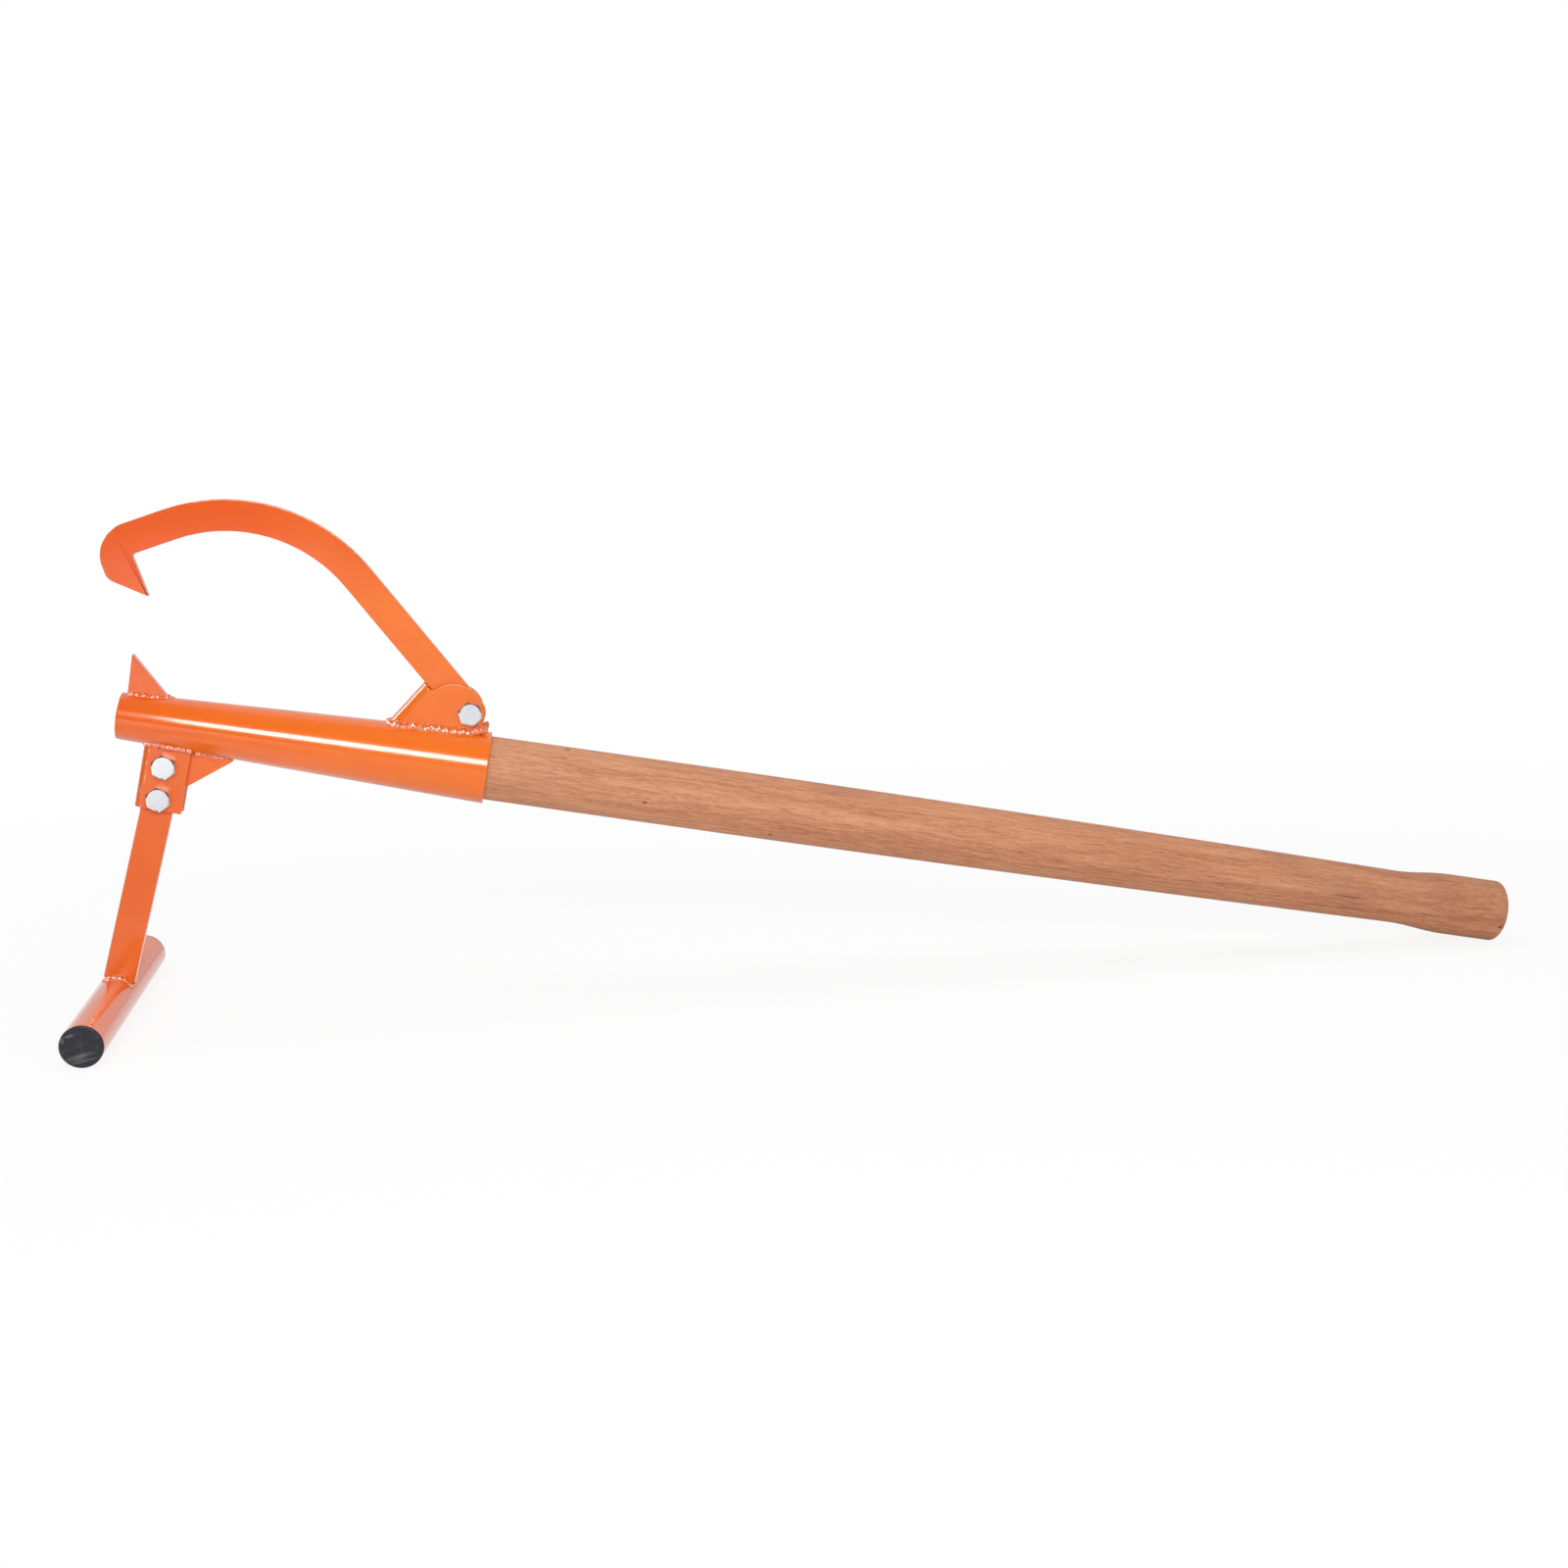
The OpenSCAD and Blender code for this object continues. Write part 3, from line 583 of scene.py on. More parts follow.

# Marks in the wood, measured as those in the paint are. The first dark band, long and low on the handle's
# front, is painted shade.
PIN_KNOTS = ((363.6, -6.9, 26.1, 2.2, 1.3, 1.3), (433.2, -26.6, -5.8, 2.2, 1.0, 1.0),
             (544.1, -19.1, -19.4, 1.6, 1.2, 1.2), (1215.7, -25.5, -9.4, 2.4, 1.4, 1.4))
DARK_STREAKS = ((1068.0, -23.9, -1.6, 12.0, 0.9, 0.9), (1166.0, -24.3, -8.0, 42.0, 1.1, 1.1),
                (800.0, -24.0, -7.0, 16.0, 0.6, 0.6), (480.0, -22.0, -14.0, 30.0, 0.7, 0.7),
                (700.0, -24.5, 6.0, 20.0, 0.5, 0.5), (930.0, -22.0, 9.0, 18.0, 0.6, 0.6))
CLOUDS = ((1068.0, -23.0, 0.0, 22.0, 9.0, 9.0), (1005.3, -12.4, 21.4, 14.0, 7.0, 7.0),
          (1153.0, -15.0, 18.0, 9.0, 16.0, 16.0), (600.0, -10.0, 24.0, 16.0, 6.0, 6.0))
DARK_BANDS_AND_PAINTED_SHADE = ((700.0, -22.0, -9.0, 360.0, 14.0, 6.5), (470.0, -20.0, 14.0, 90.0, 12.0, 3.5),
              (1180.0, -24.0, -3.0, 40.0, 14.0, 12.0))


def growth_layers(tree, place):
    """Growth layers round a heart that lies outside the handle, wandering along its length."""
    wander = noise(tree, stretched(tree, place, 0.12), 26.0, 3.0, 0.55)
    ripple = noise(tree, stretched(tree, place, 0.05), 160.0)
    from_heart = vector_math(tree, "SUBTRACT", place, HEART)
    from_heart = vector_math(tree, "MULTIPLY", from_heart, (0.02, 1.0, 1.0))
    depth = weighted_sum(tree, vector_math(tree, "LENGTH", from_heart), (wander, LAYER_WANDER),
                         (ripple, LAYER_RIPPLE))
    part = math_node(tree, "FRACT", math_node(tree, "DIVIDE", depth, LAYER_SPACING))
    rise = map_range(tree, part, 0.0, 0.82)
    fall = map_range(tree, part, 0.86, 1.0, 1.0, 0.0)
    return math_node(tree, "MULTIPLY", math_node(tree, "POWER", rise, 1.8), fall)


def wood_material(name, settings):
    """Turned hardwood, oiled: growth layers, fibres, pores, knots, dull clouds, a darker butt and painted
    shade low on its front.

    The darkness starts below zero, because every pattern adds to it all along the handle.
    """
    made, tree, shader = material(name, IOR=1.32)
    place = handle_place(tree)
    fibres, flecks, streaks, bands, pores, ticks = (
        drawn_out(tree, place, *pattern) for pattern in (FIBRES, FLECKS, STREAKS, BANDS, PORES, TICKS))
    # The dark bands join the banded grain; the long low one on the handle's front is painted shade.
    bands = math_node(tree, "ADD", bands, add_marks(tree, place, DARK_BANDS_AND_PAINTED_SHADE, 0.7))
    along = node(tree, "ShaderNodeSeparateXYZ", {0: place}).outputs[0]
    dark = map_range(tree, along, SLEEVE_LENGTH, TOOL_LENGTH, -0.39, -0.23)
    dark = weighted_sum(tree, dark, (growth_layers(tree, place), 0.2), (fibres, 0.5), (flecks, 0.26),
                        (streaks, 0.34), (bands, 0.3))
    colour = mix_colours(tree, dark, settings.wood, settings.wood_dark)
    clouds = math_node(tree, "MULTIPLY", add_marks(tree, place, CLOUDS, 0.9), 0.32)
    colour = mix_colours(tree, clouds, colour, settings.wood_cloud)
    lines = math_node(tree, "MULTIPLY", add_marks(tree, place, DARK_STREAKS, 0.6),
                      map_range(tree, fibres, 0.2, 0.7, 0.3, 0.9))
    knots = math_node(tree, "MULTIPLY", add_marks(tree, place, PIN_KNOTS, 0.3), 0.9)
    pits = math_node(tree, "MULTIPLY", math_node(tree, "MAXIMUM", pores, ticks), 0.38)
    marks = math_node(tree, "MAXIMUM", math_node(tree, "MAXIMUM", lines, knots), pits)
    colour = mix_colours(tree, marks, colour, settings.wood_mark)
    rough = map_range(tree, fibres, 0.0, 1.0, 0.5, 0.62)
    height = weighted_sum(tree, 0.0, (fibres, 0.4), (pores, -0.7))
    feed(tree, shader, Base_Color=colour, Roughness=rough, Normal=bump(tree, height, 0.4, 0.12 * MM))
    return made


def zinc_material(name, settings):
    """Bright zinc plate with a faint bloom and fine handling marks."""
    made, tree, shader = material(name, Metallic=1.0)
    place = object_place(tree)
    bloom = map_range(tree, noise(tree, place, 260.0, 3.0, 0.6), 0.3, 0.7)
    scuffs = add_scuffs(tree, place, 900.0, 0.5)
    colour = mix_colours(tree, math_node(tree, "MULTIPLY", bloom, 0.16), settings.zinc, ZINC_DULL)
    rough = weighted_sum(tree, 0.13, (bloom, 0.04), (scuffs, 0.14))
    feed(tree, shader, Base_Color=colour, Roughness=rough, Normal=bump(tree, scuffs, 0.15, 0.05 * MM))
    return made


# Rubbed places on the front end cap, in millimetres from the foot bar's middle: along their slope,
# across the tool, square to the slope, then half their size each way
SCUFF_SLOPE = math.radians(13.5)
CAP_SCUFFS = ((-3.7, -135.0, -6.9, 9.4, 4.0, 1.5), (-1.5, -135.0, -11.3, 8.8, 4.0, 0.7),
              (-5.0, -135.0, -9.4, 6.0, 4.0, 0.6), (-12.2, -135.0, 9.2, 1.5, 4.0, 2.2),
              (-6.0, -135.0, 11.0, 3.2, 4.0, 1.2))


def plastic_material(name, settings):
    """Moulded black plastic, faintly clouded, and rubbed paler in places on the front cap."""
    made, tree, shader = material(name, IOR=1.46)
    place = object_place(tree)
    scuffs = add_scuffs(tree, place, 500.0, 0.35)
    cloud = map_range(tree, noise(tree, place, 140.0, 4.0, 0.65), 0.5, 0.72)
    sloped = tilted(tree, vector_math(tree, "SUBTRACT", place, FOOT), SCUFF_SLOPE)
    lines = noise(tree, stretched(tree, sloped, 0.1), 1600.0, 2.0, 0.6)
    rubbed = math_node(tree, "MULTIPLY", add_marks(tree, sloped, CAP_SCUFFS, 0.6),
                       map_range(tree, lines, 0.35, 0.6, 0.25, 1.0))
    wear = math_node(tree, "MAXIMUM", scuffs, math_node(tree, "MULTIPLY", cloud, 0.2))
    wear = math_node(tree, "MAXIMUM", wear, rubbed)
    colour = mix_colours(tree, wear, settings.plastic, PLASTIC_RUBBED)
    rough = map_range(tree, wear, 0.0, 1.0, 0.38, 0.62)
    normal = bump(tree, noise(tree, place, 1500.0), 0.25, 0.08 * MM)
    feed(tree, shader, Base_Color=colour, Roughness=rough, Normal=normal)
    return made


def nylon_material(name, settings):
    """Pale nylon, slightly waxy."""
    made, tree, shader = material(name, IOR=1.53, Subsurface_Weight=0.15, Subsurface_Scale=1 * MM)
    cloud = noise(tree, object_place(tree), 500.0)
    colour = mix_colours(tree, math_node(tree, "MULTIPLY", cloud, 0.25), settings.nylon, NYLON_AGED)
    rough = map_range(tree, cloud, 0.3, 0.7, 0.36, 0.46)
    feed(tree, shader, Base_Color=colour, Roughness=rough)
    return made


def finish(name):
    """The finish of that name, made when it is first asked for."""
    if name in bpy.data.materials:
        return bpy.data.materials[name]
    settings = bpy.context.scene.log_lifter.finish
    if name == "powder coat":
        return paint_material(name, settings, peel_scale=300.0, peel_depth=0.02 * MM, roughness=0.2,
                              coat_ior=1.5)
    if name == "powder coat on weld":
        return paint_material(name, settings, peel_scale=190.0, peel_depth=2.2 * MM, roughness=0.14,
                              coat_ior=3.2)
    makers = {"turned ash wood": wood_material, "zinc plate": zinc_material,
              "black plastic": plastic_material, "nylon": nylon_material}
    return makers[name](name, settings)


def add_object(name, mesh):
    obj = bpy.data.objects.new(name, mesh)
    bpy.context.scene.collection.objects.link(obj)
    return obj


def mesh_from(bm, name, sharp):
    """Ends a bmesh as a named mesh: faces outwards, smooth but for edges sharper than the angle."""
    bmesh.ops.recalc_face_normals(bm, faces=bm.faces)
    mesh = bpy.data.meshes.new(name)
    bm.to_mesh(mesh)
    bm.free()
    mesh.shade_smooth()
    mesh.set_sharp_from_angle(angle=math.radians(sharp))
    return mesh


def stand_for(obj, source):
    """Hides the CAD node that a piece stands for and attaches the piece to the body that it moves with.
    """
    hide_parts(source)
    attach(obj, BODY_OF[source])


def dress(obj, finish_name, source):
    """Gives a piece its finish, hides the CAD node that it stands for and attaches it to its body."""
    obj.data.materials.clear()
    obj.data.materials.append(finish(finish_name))
    stand_for(obj, source)


def turned(name, rings, origin, axis, side, sides, loop=False, sharp=SHARP):
    """Skins rings about an axis. A ring is (height, radius), or a function of the angle giving it.

    With loop the last ring joins the first; otherwise both ends close on the axis.
    """
    across = axis.cross(side)
    bm = bmesh.new()
    rows = []
    for ring in rings:
        row = []
        for step in range(sides):
            angle = 2 * math.pi * step / sides
            height, radius = ring(angle) if callable(ring) else ring
            way = side * math.cos(angle) + across * math.sin(angle)
            row.append(bm.verts.new(origin + axis * height + way * radius))
        rows.append(row)
    pairs = list(zip(rows, rows[1:]))
    if loop:
        pairs.append((rows[-1], rows[0]))
    else:
        bm.faces.new(rows[0])
        bm.faces.new(rows[-1])
    for low, high in pairs:
        for step in range(sides):
            after = (step + 1) % sides
            bm.faces.new((low[step], low[after], high[after], high[step]))
    return add_object(name, mesh_from(bm, name, sharp))


def straight(start, end, count):
    """Evenly spaced places from start to end, both among them."""
    return [start + (end - start) * index / count for index in range(count + 1)]


def quarter_turn(steps):
    """Angles of a quarter turn in even steps, from nothing to a right angle."""
    return [math.pi / 2 * step / steps for step in range(steps + 1)]


def settle(obj):
    """Turns a piece's modifiers into plain mesh."""
    graph = bpy.context.evaluated_depsgraph_get()
    mesh = bpy.data.meshes.new_from_object(obj.evaluated_get(graph), preserve_all_data_layers=True,
                                           depsgraph=graph)
    old = obj.data
    obj.modifiers.clear()
    obj.data = mesh
    mesh.name = obj.name
    bpy.data.meshes.remove(old)


def off_sleeve(point):
    """True where a point is well off the sleeve's skin."""
    local = point - HEAD
    reach = math.hypot(local.dot(ACROSS), local.dot(RISE))
    return reach > sleeve_r(local.dot(AXIS)) + SLEEVE_CLEARANCE


def plate_copy(name, source, edge, keep=None):
    """A CAD plate's mesh with merged faces and rounded edges; keep says which edges may turn round."""
    bm = bmesh.new()
    mesh = NODES[source].data
    verts = [bm.verts.new(vertex.co) for vertex in mesh.vertices]
    for polygon in mesh.polygons:
        bm.faces.new([verts[index] for index in polygon.vertices])
    bmesh.ops.remove_doubles(bm, verts=bm.verts, dist=MERGE_DISTANCE)
    bmesh.ops.recalc_face_normals(bm, faces=bm.faces)
    bmesh.ops.dissolve_limit(bm, angle_limit=FLAT_ANGLE, verts=bm.verts, edges=bm.edges)
    edges = []
    for rim in bm.edges:
        if len(rim.link_faces) != 2 or rim.calc_face_angle() < ROUNDED_ANGLE:
            continue
        if keep is None or keep((rim.verts[0].co + rim.verts[1].co) / 2):
            edges.append(rim)
    bmesh.ops.bevel(bm, geom=edges, offset=edge, offset_type="OFFSET", segments=3, profile=0.5,
                    affect="EDGES", clamp_overlap=False)
    bmesh.ops.triangulate(bm, faces=[face for face in bm.faces if len(face.verts) > 4])
    obj = add_object(name, mesh_from(bm, name, SHARP_PLATE))
    weighted = obj.modifiers.new("even faces", "WEIGHTED_NORMAL")
    weighted.keep_sharp = True
    settle(obj)
    dress(obj, "powder coat", source)


def sleeve_profile(rim):
    """Closed side profile of the sleeve's wall, with its rims turned round."""
    head = [(rim * (1 - math.cos(angle)), SLEEVE_HEAD_R - rim * (1 - math.sin(angle)))
            for angle in quarter_turn(6)]
    mouth = [(SLEEVE_LENGTH - rim * (1 - math.cos(angle)), SLEEVE_MOUTH_R - rim * (1 - math.sin(angle)))
             for angle in reversed(quarter_turn(6))]
    head_bore = SLEEVE_HEAD_R - SLEEVE_WALL
    mouth_bore = SLEEVE_MOUTH_R - SLEEVE_WALL
    return head + mouth + [(SLEEVE_LENGTH, mouth_bore + rim / 2), (SLEEVE_LENGTH - rim / 2, mouth_bore),
                           (rim / 2, head_bore), (0.0, head_bore + rim / 2)]


def handle_r(x):
    """Radius of the handle outside the sleeve."""
    mouth = SLEEVE_MOUTH_R - SLEEVE_WALL - HANDLE_PLAY
    if x < BELLY_AT:
        part = (x - SLEEVE_LENGTH) / (BELLY_AT - SLEEVE_LENGTH)
        return BELLY_R - (BELLY_R - mouth) * (1 - part) ** 2
    if x < NECK_AT:
        part = (x - BELLY_AT) / (NECK_AT - BELLY_AT)
        return BELLY_R - (BELLY_R - NECK_R) * part * part
    if x < BUTT_AT:
        part = (x - NECK_AT) / FLARE_LENGTH
        return NECK_R + (BUTT_R - NECK_R) * (1 - math.cos(math.pi * part)) / 2
    return BUTT_R


def handle_profile():
    """Side profile of the handle, from its end in the sleeve to the butt's face."""
    inset = SLEEVE_WALL + HANDLE_PLAY
    edge = HANDLE_RECESS + HANDLE_EDGE
    points = [(HANDLE_RECESS, sleeve_r(HANDLE_RECESS) - inset - HANDLE_EDGE),
              (edge, sleeve_r(edge) - inset)]
    end = TOOL_LENGTH - BUTT_ROUND
    points += [(x, handle_r(x)) for x in straight(SLEEVE_LENGTH, end, 120)]
    points += [(end + BUTT_ROUND * math.sin(angle), BUTT_R - BUTT_ROUND * (1 - math.cos(angle)))
               for angle in quarter_turn(6)[1:]]
    points.append((TOOL_LENGTH, BUTT_R / 2))
    return points


def corner_angle(source, centre):
    """Angle at which a CAD bolt or nut has a hexagon's corner, seen along its axis."""
    across = ACROSS.cross(LEVEL)
    far = max((vertex.co - centre for vertex in NODES[source].data.vertices),
              key=lambda way: way.dot(LEVEL) ** 2 + way.dot(across) ** 2)
    return math.atan2(far.dot(across), far.dot(LEVEL))


def hex_r(angle, corner):
    """Radius of the hexagon at an angle, its corners slightly eased."""
    part = (angle - corner) % (math.pi / 3) - math.pi / 6
    return min(HEX_HALF / math.cos(part), HEX_CORNER_R)


def hex_end(height, way, corner):
    """Rings of a hexagon's chamfered end face at a height; way is where its body lies."""
    def chamfer(angle):
        radius = hex_r(angle, corner)
        return height + way * (radius - HEX_FACE_R) * math.tan(HEX_CHAMFER), radius
    return [(height, HEX_FACE_R / 2), (height, HEX_FACE_R), chamfer]


def thread_rings(start, end):
    """Rings of a screw thread between two heights, shallower at its start and fading out at its end."""
    step = THREAD_PITCH / 8
    count = int((end - start) / step)

    def one(height):
        fade = min(1.0, (end - height) / THREAD_FADE, (height - start) / THREAD_FADE + 0.2)

        def ring(angle):
            part = (height / THREAD_PITCH - angle / (2 * math.pi)) % 1.0
            dip = max(0.0, abs(2 * part - 1) * (1 + THREAD_CREST) - THREAD_CREST)
            return height, BOLT_R - THREAD_DEPTH * dip * fade
        return ring
    return [one(start + step * index) for index in range(1, count)]


def make_bolt(name, source, ring_source, turn):
    """A bolt, centred on its nut's ring, with its head turned by a small angle from the CAD's."""
    low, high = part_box(source)
    centre = middle_of(ring_source)
    corner = corner_angle(source, centre) + turn
    rings = hex_end(low.y, 1.0, corner)
    rings += [lambda angle: (-BRACKET_HALF - HEAD_UNDERCUT, hex_r(angle, corner)),
              lambda angle: (-BRACKET_HALF, hex_r(angle, corner) - HEAD_UNDERCUT),
              (-BRACKET_HALF, BOLT_R), (BRACKET_HALF, BOLT_R)]
    rings += thread_rings(BRACKET_HALF, high.y - THREAD_TO_TIP)
    rings += [(high.y - back, BOLT_R - thinner) for back, thinner in BOLT_END]
    rings.append((high.y, BOLT_R / 2))
    obj = turned(name, rings, centre, ACROSS, LEVEL, SMALL_SIDES, sharp=SHARP_HEX)
    dress(obj, "zinc plate", source)


def make_nut(name, source, ring_name, ring_source):
    """A lock nut: a hexagon, a collar rolled over at its rim, and the nylon ring inside it."""
    low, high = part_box(source)
    centre = middle_of(ring_source)
    corner = corner_angle(source, centre)
    shoulder = high.y - NUT_COLLAR

    def seat_edge(angle):
        radius = hex_r(angle, corner)
        return low.y + (radius - NUT_SEAT_R) * NUT_SEAT_SLOPE, radius

    face, chamfer = hex_end(shoulder, -1.0, corner)[1:]
    rings = [(low.y, NUT_BORE_R), (low.y, NUT_SEAT_R), seat_edge, chamfer, face,
             (shoulder, NUT_COLLAR_R + SMALL_EDGE), (shoulder + SMALL_EDGE, NUT_COLLAR_R),
             (high.y - NUT_CURL, NUT_COLLAR_R)]
    rings += [(high.y - NUT_CURL * (1 - math.sin(angle)), NUT_COLLAR_R - NUT_CURL * (1 - math.cos(angle)))
              for angle in quarter_turn(5)[1:]]
    rings += [(high.y - SMALL_EDGE, NUT_RING_R), (shoulder, NUT_RING_R), (shoulder, NUT_BORE_R)]
    obj = turned(name, rings, centre, ACROSS, LEVEL, SMALL_SIDES, loop=True, sharp=SHARP_HEX)
    dress(obj, "zinc plate", source)
    top = shoulder + NUT_RING_H
    rings = [(shoulder, NUT_BORE_R), (top - NUT_RING_EDGE, NUT_BORE_R), (top, NUT_BORE_R + NUT_RING_EDGE),
             (top, NUT_RING_R - NUT_RING_EDGE), (top - NUT_RING_EDGE, NUT_RING_R), (shoulder, NUT_RING_R)]
    washer = turned(ring_name, rings, centre, ACROSS, LEVEL, SMALL_SIDES, loop=True)
    dress(washer, "nylon", ring_source)


def make_cap(name, source, way):
    """An end cap: a softly dished flange and a hollow plug with gripping fins; way is its side."""
    low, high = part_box(source)
    outer = high.y if way > 0 else -low.y
    seat_at = outer - CAP_FLANGE
    plug = FOOT_R - FOOT_WALL - CAP_PLAY
    rings = [(outer - deep, FOOT_R * share) for deep, share in CAP_DISH]
    rings.append((outer, FOOT_R - CAP_EDGE))
    rings += [(outer - CAP_EDGE * (1 - math.cos(angle)), FOOT_R - CAP_EDGE * (1 - math.sin(angle)))
              for angle in quarter_turn(6)[1:]]
    rings += [(seat_at + SMALL_EDGE, FOOT_R), (seat_at, FOOT_R - SMALL_EDGE), (seat_at, plug)]
    for index in range(1, CAP_FINS + 1):
        fin = seat_at - CAP_PLUG * index / (CAP_FINS + 1)
        rings += [(fin + FIN_HALF, plug), (fin, plug + FIN_HEIGHT), (fin - FIN_HALF, plug)]
    end = seat_at - CAP_PLUG
    rings += [(end, plug), (end, plug - CAP_WALL), (seat_at, plug - CAP_WALL), (seat_at, plug / 2)]
    obj = turned(name, rings, FOOT, ACROSS * way, LEVEL, SMALL_SIDES)
    dress(obj, "black plastic", source)


def drops_on_path(tree, entry):
    """Flattened drops strung along a path, each moved and swollen a little at random."""
    size = node(tree, "GeometryNodeInputNamedAttribute", {"Name": "size"}, data_type="FLOAT").outputs[0]
    curve = node(tree, "GeometryNodeMeshToCurve", {"Mesh": entry["Path"]}).outputs[0]
    points = node(tree, "GeometryNodeCurveToPoints", {"Curve": curve, "Length": entry["Pitch"]},
                  mode="LENGTH").outputs
    shift = node(tree, "FunctionNodeRandomValue",
                 {0: (-1.0, -1.0, -1.0), 1: (1.0, 1.0, 1.0), "Seed": entry["Seed"]},
                 data_type="FLOAT_VECTOR").outputs[0]
    reach = math_node(tree, "MULTIPLY", math_node(tree, "MULTIPLY", size, entry["Unevenness"]), 0.8)
    moved = node(tree, "GeometryNodeSetPosition",
                 {"Geometry": points["Points"], "Offset": scaled(tree, shift, reach)}).outputs[0]
    swell = node(tree, "FunctionNodeRandomValue",
                 {2: math_node(tree, "SUBTRACT", 1.0, entry["Unevenness"]),
                  3: math_node(tree, "ADD", 1.0, entry["Unevenness"]),
                  "Seed": math_node(tree, "ADD", entry["Seed"], 11.0)}, data_type="FLOAT").outputs[1]
    radius = math_node(tree, "MULTIPLY", size, swell)
    flat = math_node(tree, "MULTIPLY", radius, DROP_FLATNESS)
    scale = node(tree, "ShaderNodeCombineXYZ", {"X": radius, "Y": radius, "Z": flat}).outputs[0]
    drop = node(tree, "GeometryNodeMeshIcoSphere", {"Radius": 1.0, "Subdivisions": 3}).outputs[0]
    drops = node(tree, "GeometryNodeInstanceOnPoints",
                 {"Points": moved, "Instance": drop, "Rotation": points["Rotation"],
                  "Scale": scale}).outputs[0]
    return node(tree, "GeometryNodeRealizeInstances", {"Geometry": drops}).outputs[0]


def weld_bead(tree, entry):
    """Drops strung along the path, melted into one lumpy bead with a fine grain."""
    volume = node(tree, "GeometryNodeMeshToVolume",
                  {"Mesh": drops_on_path(tree, entry), "Voxel Size": entry["Voxel Size"],
                   "Interior Band Width": math_node(tree, "MULTIPLY", entry["Voxel Size"], 3.0)},
                  resolution_mode="VOXEL_SIZE").outputs[0]
    melted = node(tree, "GeometryNodeVolumeToMesh",
                  {"Volume": volume, "Voxel Size": entry["Voxel Size"], "Threshold": 0.1},
                  resolution_mode="VOXEL_SIZE").outputs[0]
    grain = noise(tree, node(tree, "GeometryNodeInputPosition").outputs[0], 700.0)
    lift = math_node(tree, "MULTIPLY", math_node(tree, "SUBTRACT", grain, 0.5), WELD_GRAIN)
    push = scaled(tree, node(tree, "GeometryNodeInputNormal").outputs[0], lift)
    grained = node(tree, "GeometryNodeSetPosition", {"Geometry": melted, "Offset": push}).outputs[0]
    smooth = node(tree, "GeometryNodeSetShadeSmooth", {"Geometry": grained}).outputs[0]
    real = node(tree, "GeometryNodeRealizeInstances", {"Geometry": smooth}).outputs[0]
    links = {"Geometry": real, "Material": entry["Finish"]}
    return {"Bead": node(tree, "GeometryNodeSetMaterial", links).outputs[0]}


def weld_tree():
    """The geometry nodes of a weld bead, which follows a path."""
    return node_group(
        "weld bead", "GeometryNodeTree",
        [("Path", GEOMETRY, None), ("Pitch", FLOAT, WELD_PITCH), ("Unevenness", FLOAT, WELD_UNEVENNESS),
         ("Voxel Size", FLOAT, WELD_VOXEL), ("Seed", "NodeSocketInt", 1),
         ("Finish", "NodeSocketMaterial", None)],
        [("Bead", GEOMETRY)], weld_bead)


def make_weld(name, source, path, closed=False, seed=0):
    """Lays a weld bead along a path of (place, size) and lets it stand for the CAD weld."""
    settings = bpy.context.scene.log_lifter.weld
    mesh = bpy.data.meshes.new(name)
    edges = [(index, index + 1) for index in range(len(path) - 1)]
    if closed:
        edges.append((len(path) - 1, 0))
    mesh.from_pydata([place for place, size in path], edges, [])
    sizes = mesh.attributes.new("size", "FLOAT", "POINT")
    sizes.data.foreach_set("value", [size for place, size in path])
    obj = add_object(name, mesh)
    tree = weld_tree()
    modifier = obj.modifiers.new("weld", "NODES")
    modifier.node_group = tree
    values = {"Pitch": settings.pitch, "Unevenness": settings.unevenness, "Voxel Size": settings.voxel,
              "Seed": settings.seed + seed, "Finish": finish("powder coat on weld")}
    for item in tree.interface.items_tree:
        if item.name in values and item.in_out == "INPUT":
            modifier[item.identifier] = values[item.name]
    settle(obj)
    if not obj.data.polygons:
        raise RuntimeError("the weld bead " + name + " came out empty")
    stand_for(obj, source)


def seat(x, y, up):
    """Place on the sleeve's skin, x along the handle and y across, on its top or its underside."""
    height = math.sqrt(sleeve_r(x) ** 2 - y ** 2)
    return at(x, y, height if up else -height)


def mirrored(path):
    """A path of (place, size) on the tool's other side, run backwards."""
    return [(Vector((place.x, -place.y, place.z)), size) for place, size in reversed(path)]


def bracket_path(front, back, fold, up, size, end_size, slim, out, heap=()):
    """Path down one cheek's foot, round the folded side and back along the other cheek.

    The bead lies a little out from the cheeks, goes from size to end_size towards their rear ends,
    and is slimmer by the share slim in the middle of the fold.
    """
    y = BRACKET_HALF + out
    path = [(seat(x, -y - HEAP_OUT, up) + RISE * lift, width) for x, lift, width in heap]
    for x in straight(back, front + fold, 14):
        grow = max(0.0, 1 - (back - x) / BRACKET_BEAD_END)
        path.append((seat(x, -y, up), size + (end_size - size) * grow))
    for angle in quarter_turn(12)[1:-1]:
        place = seat(front + fold * (1 - math.sin(angle)), -y + fold * (1 - math.cos(angle)), up)
        path.append((place, size * (1 - slim * math.sin(angle))))
    return path + mirrored(path)


def plate_path(front, heel, up, size, tail):
    """Path along an upright plate's foot to its thin end, round that and back along the other face.

    The bead gets thinner over the tail, which is how far it reaches past the heel.
    """
    y = PLATE_HALF + PLATE_BEAD_OUT
    path = [(seat(x, -y, up), size) for x in straight(front, heel, 12)]
    path.append((seat(heel + tail / 3, -y / 2, up), size * 0.6))
    end = (seat(heel + tail, 0.0, up), size * 0.35)
    return path + [end] + mirrored(path)


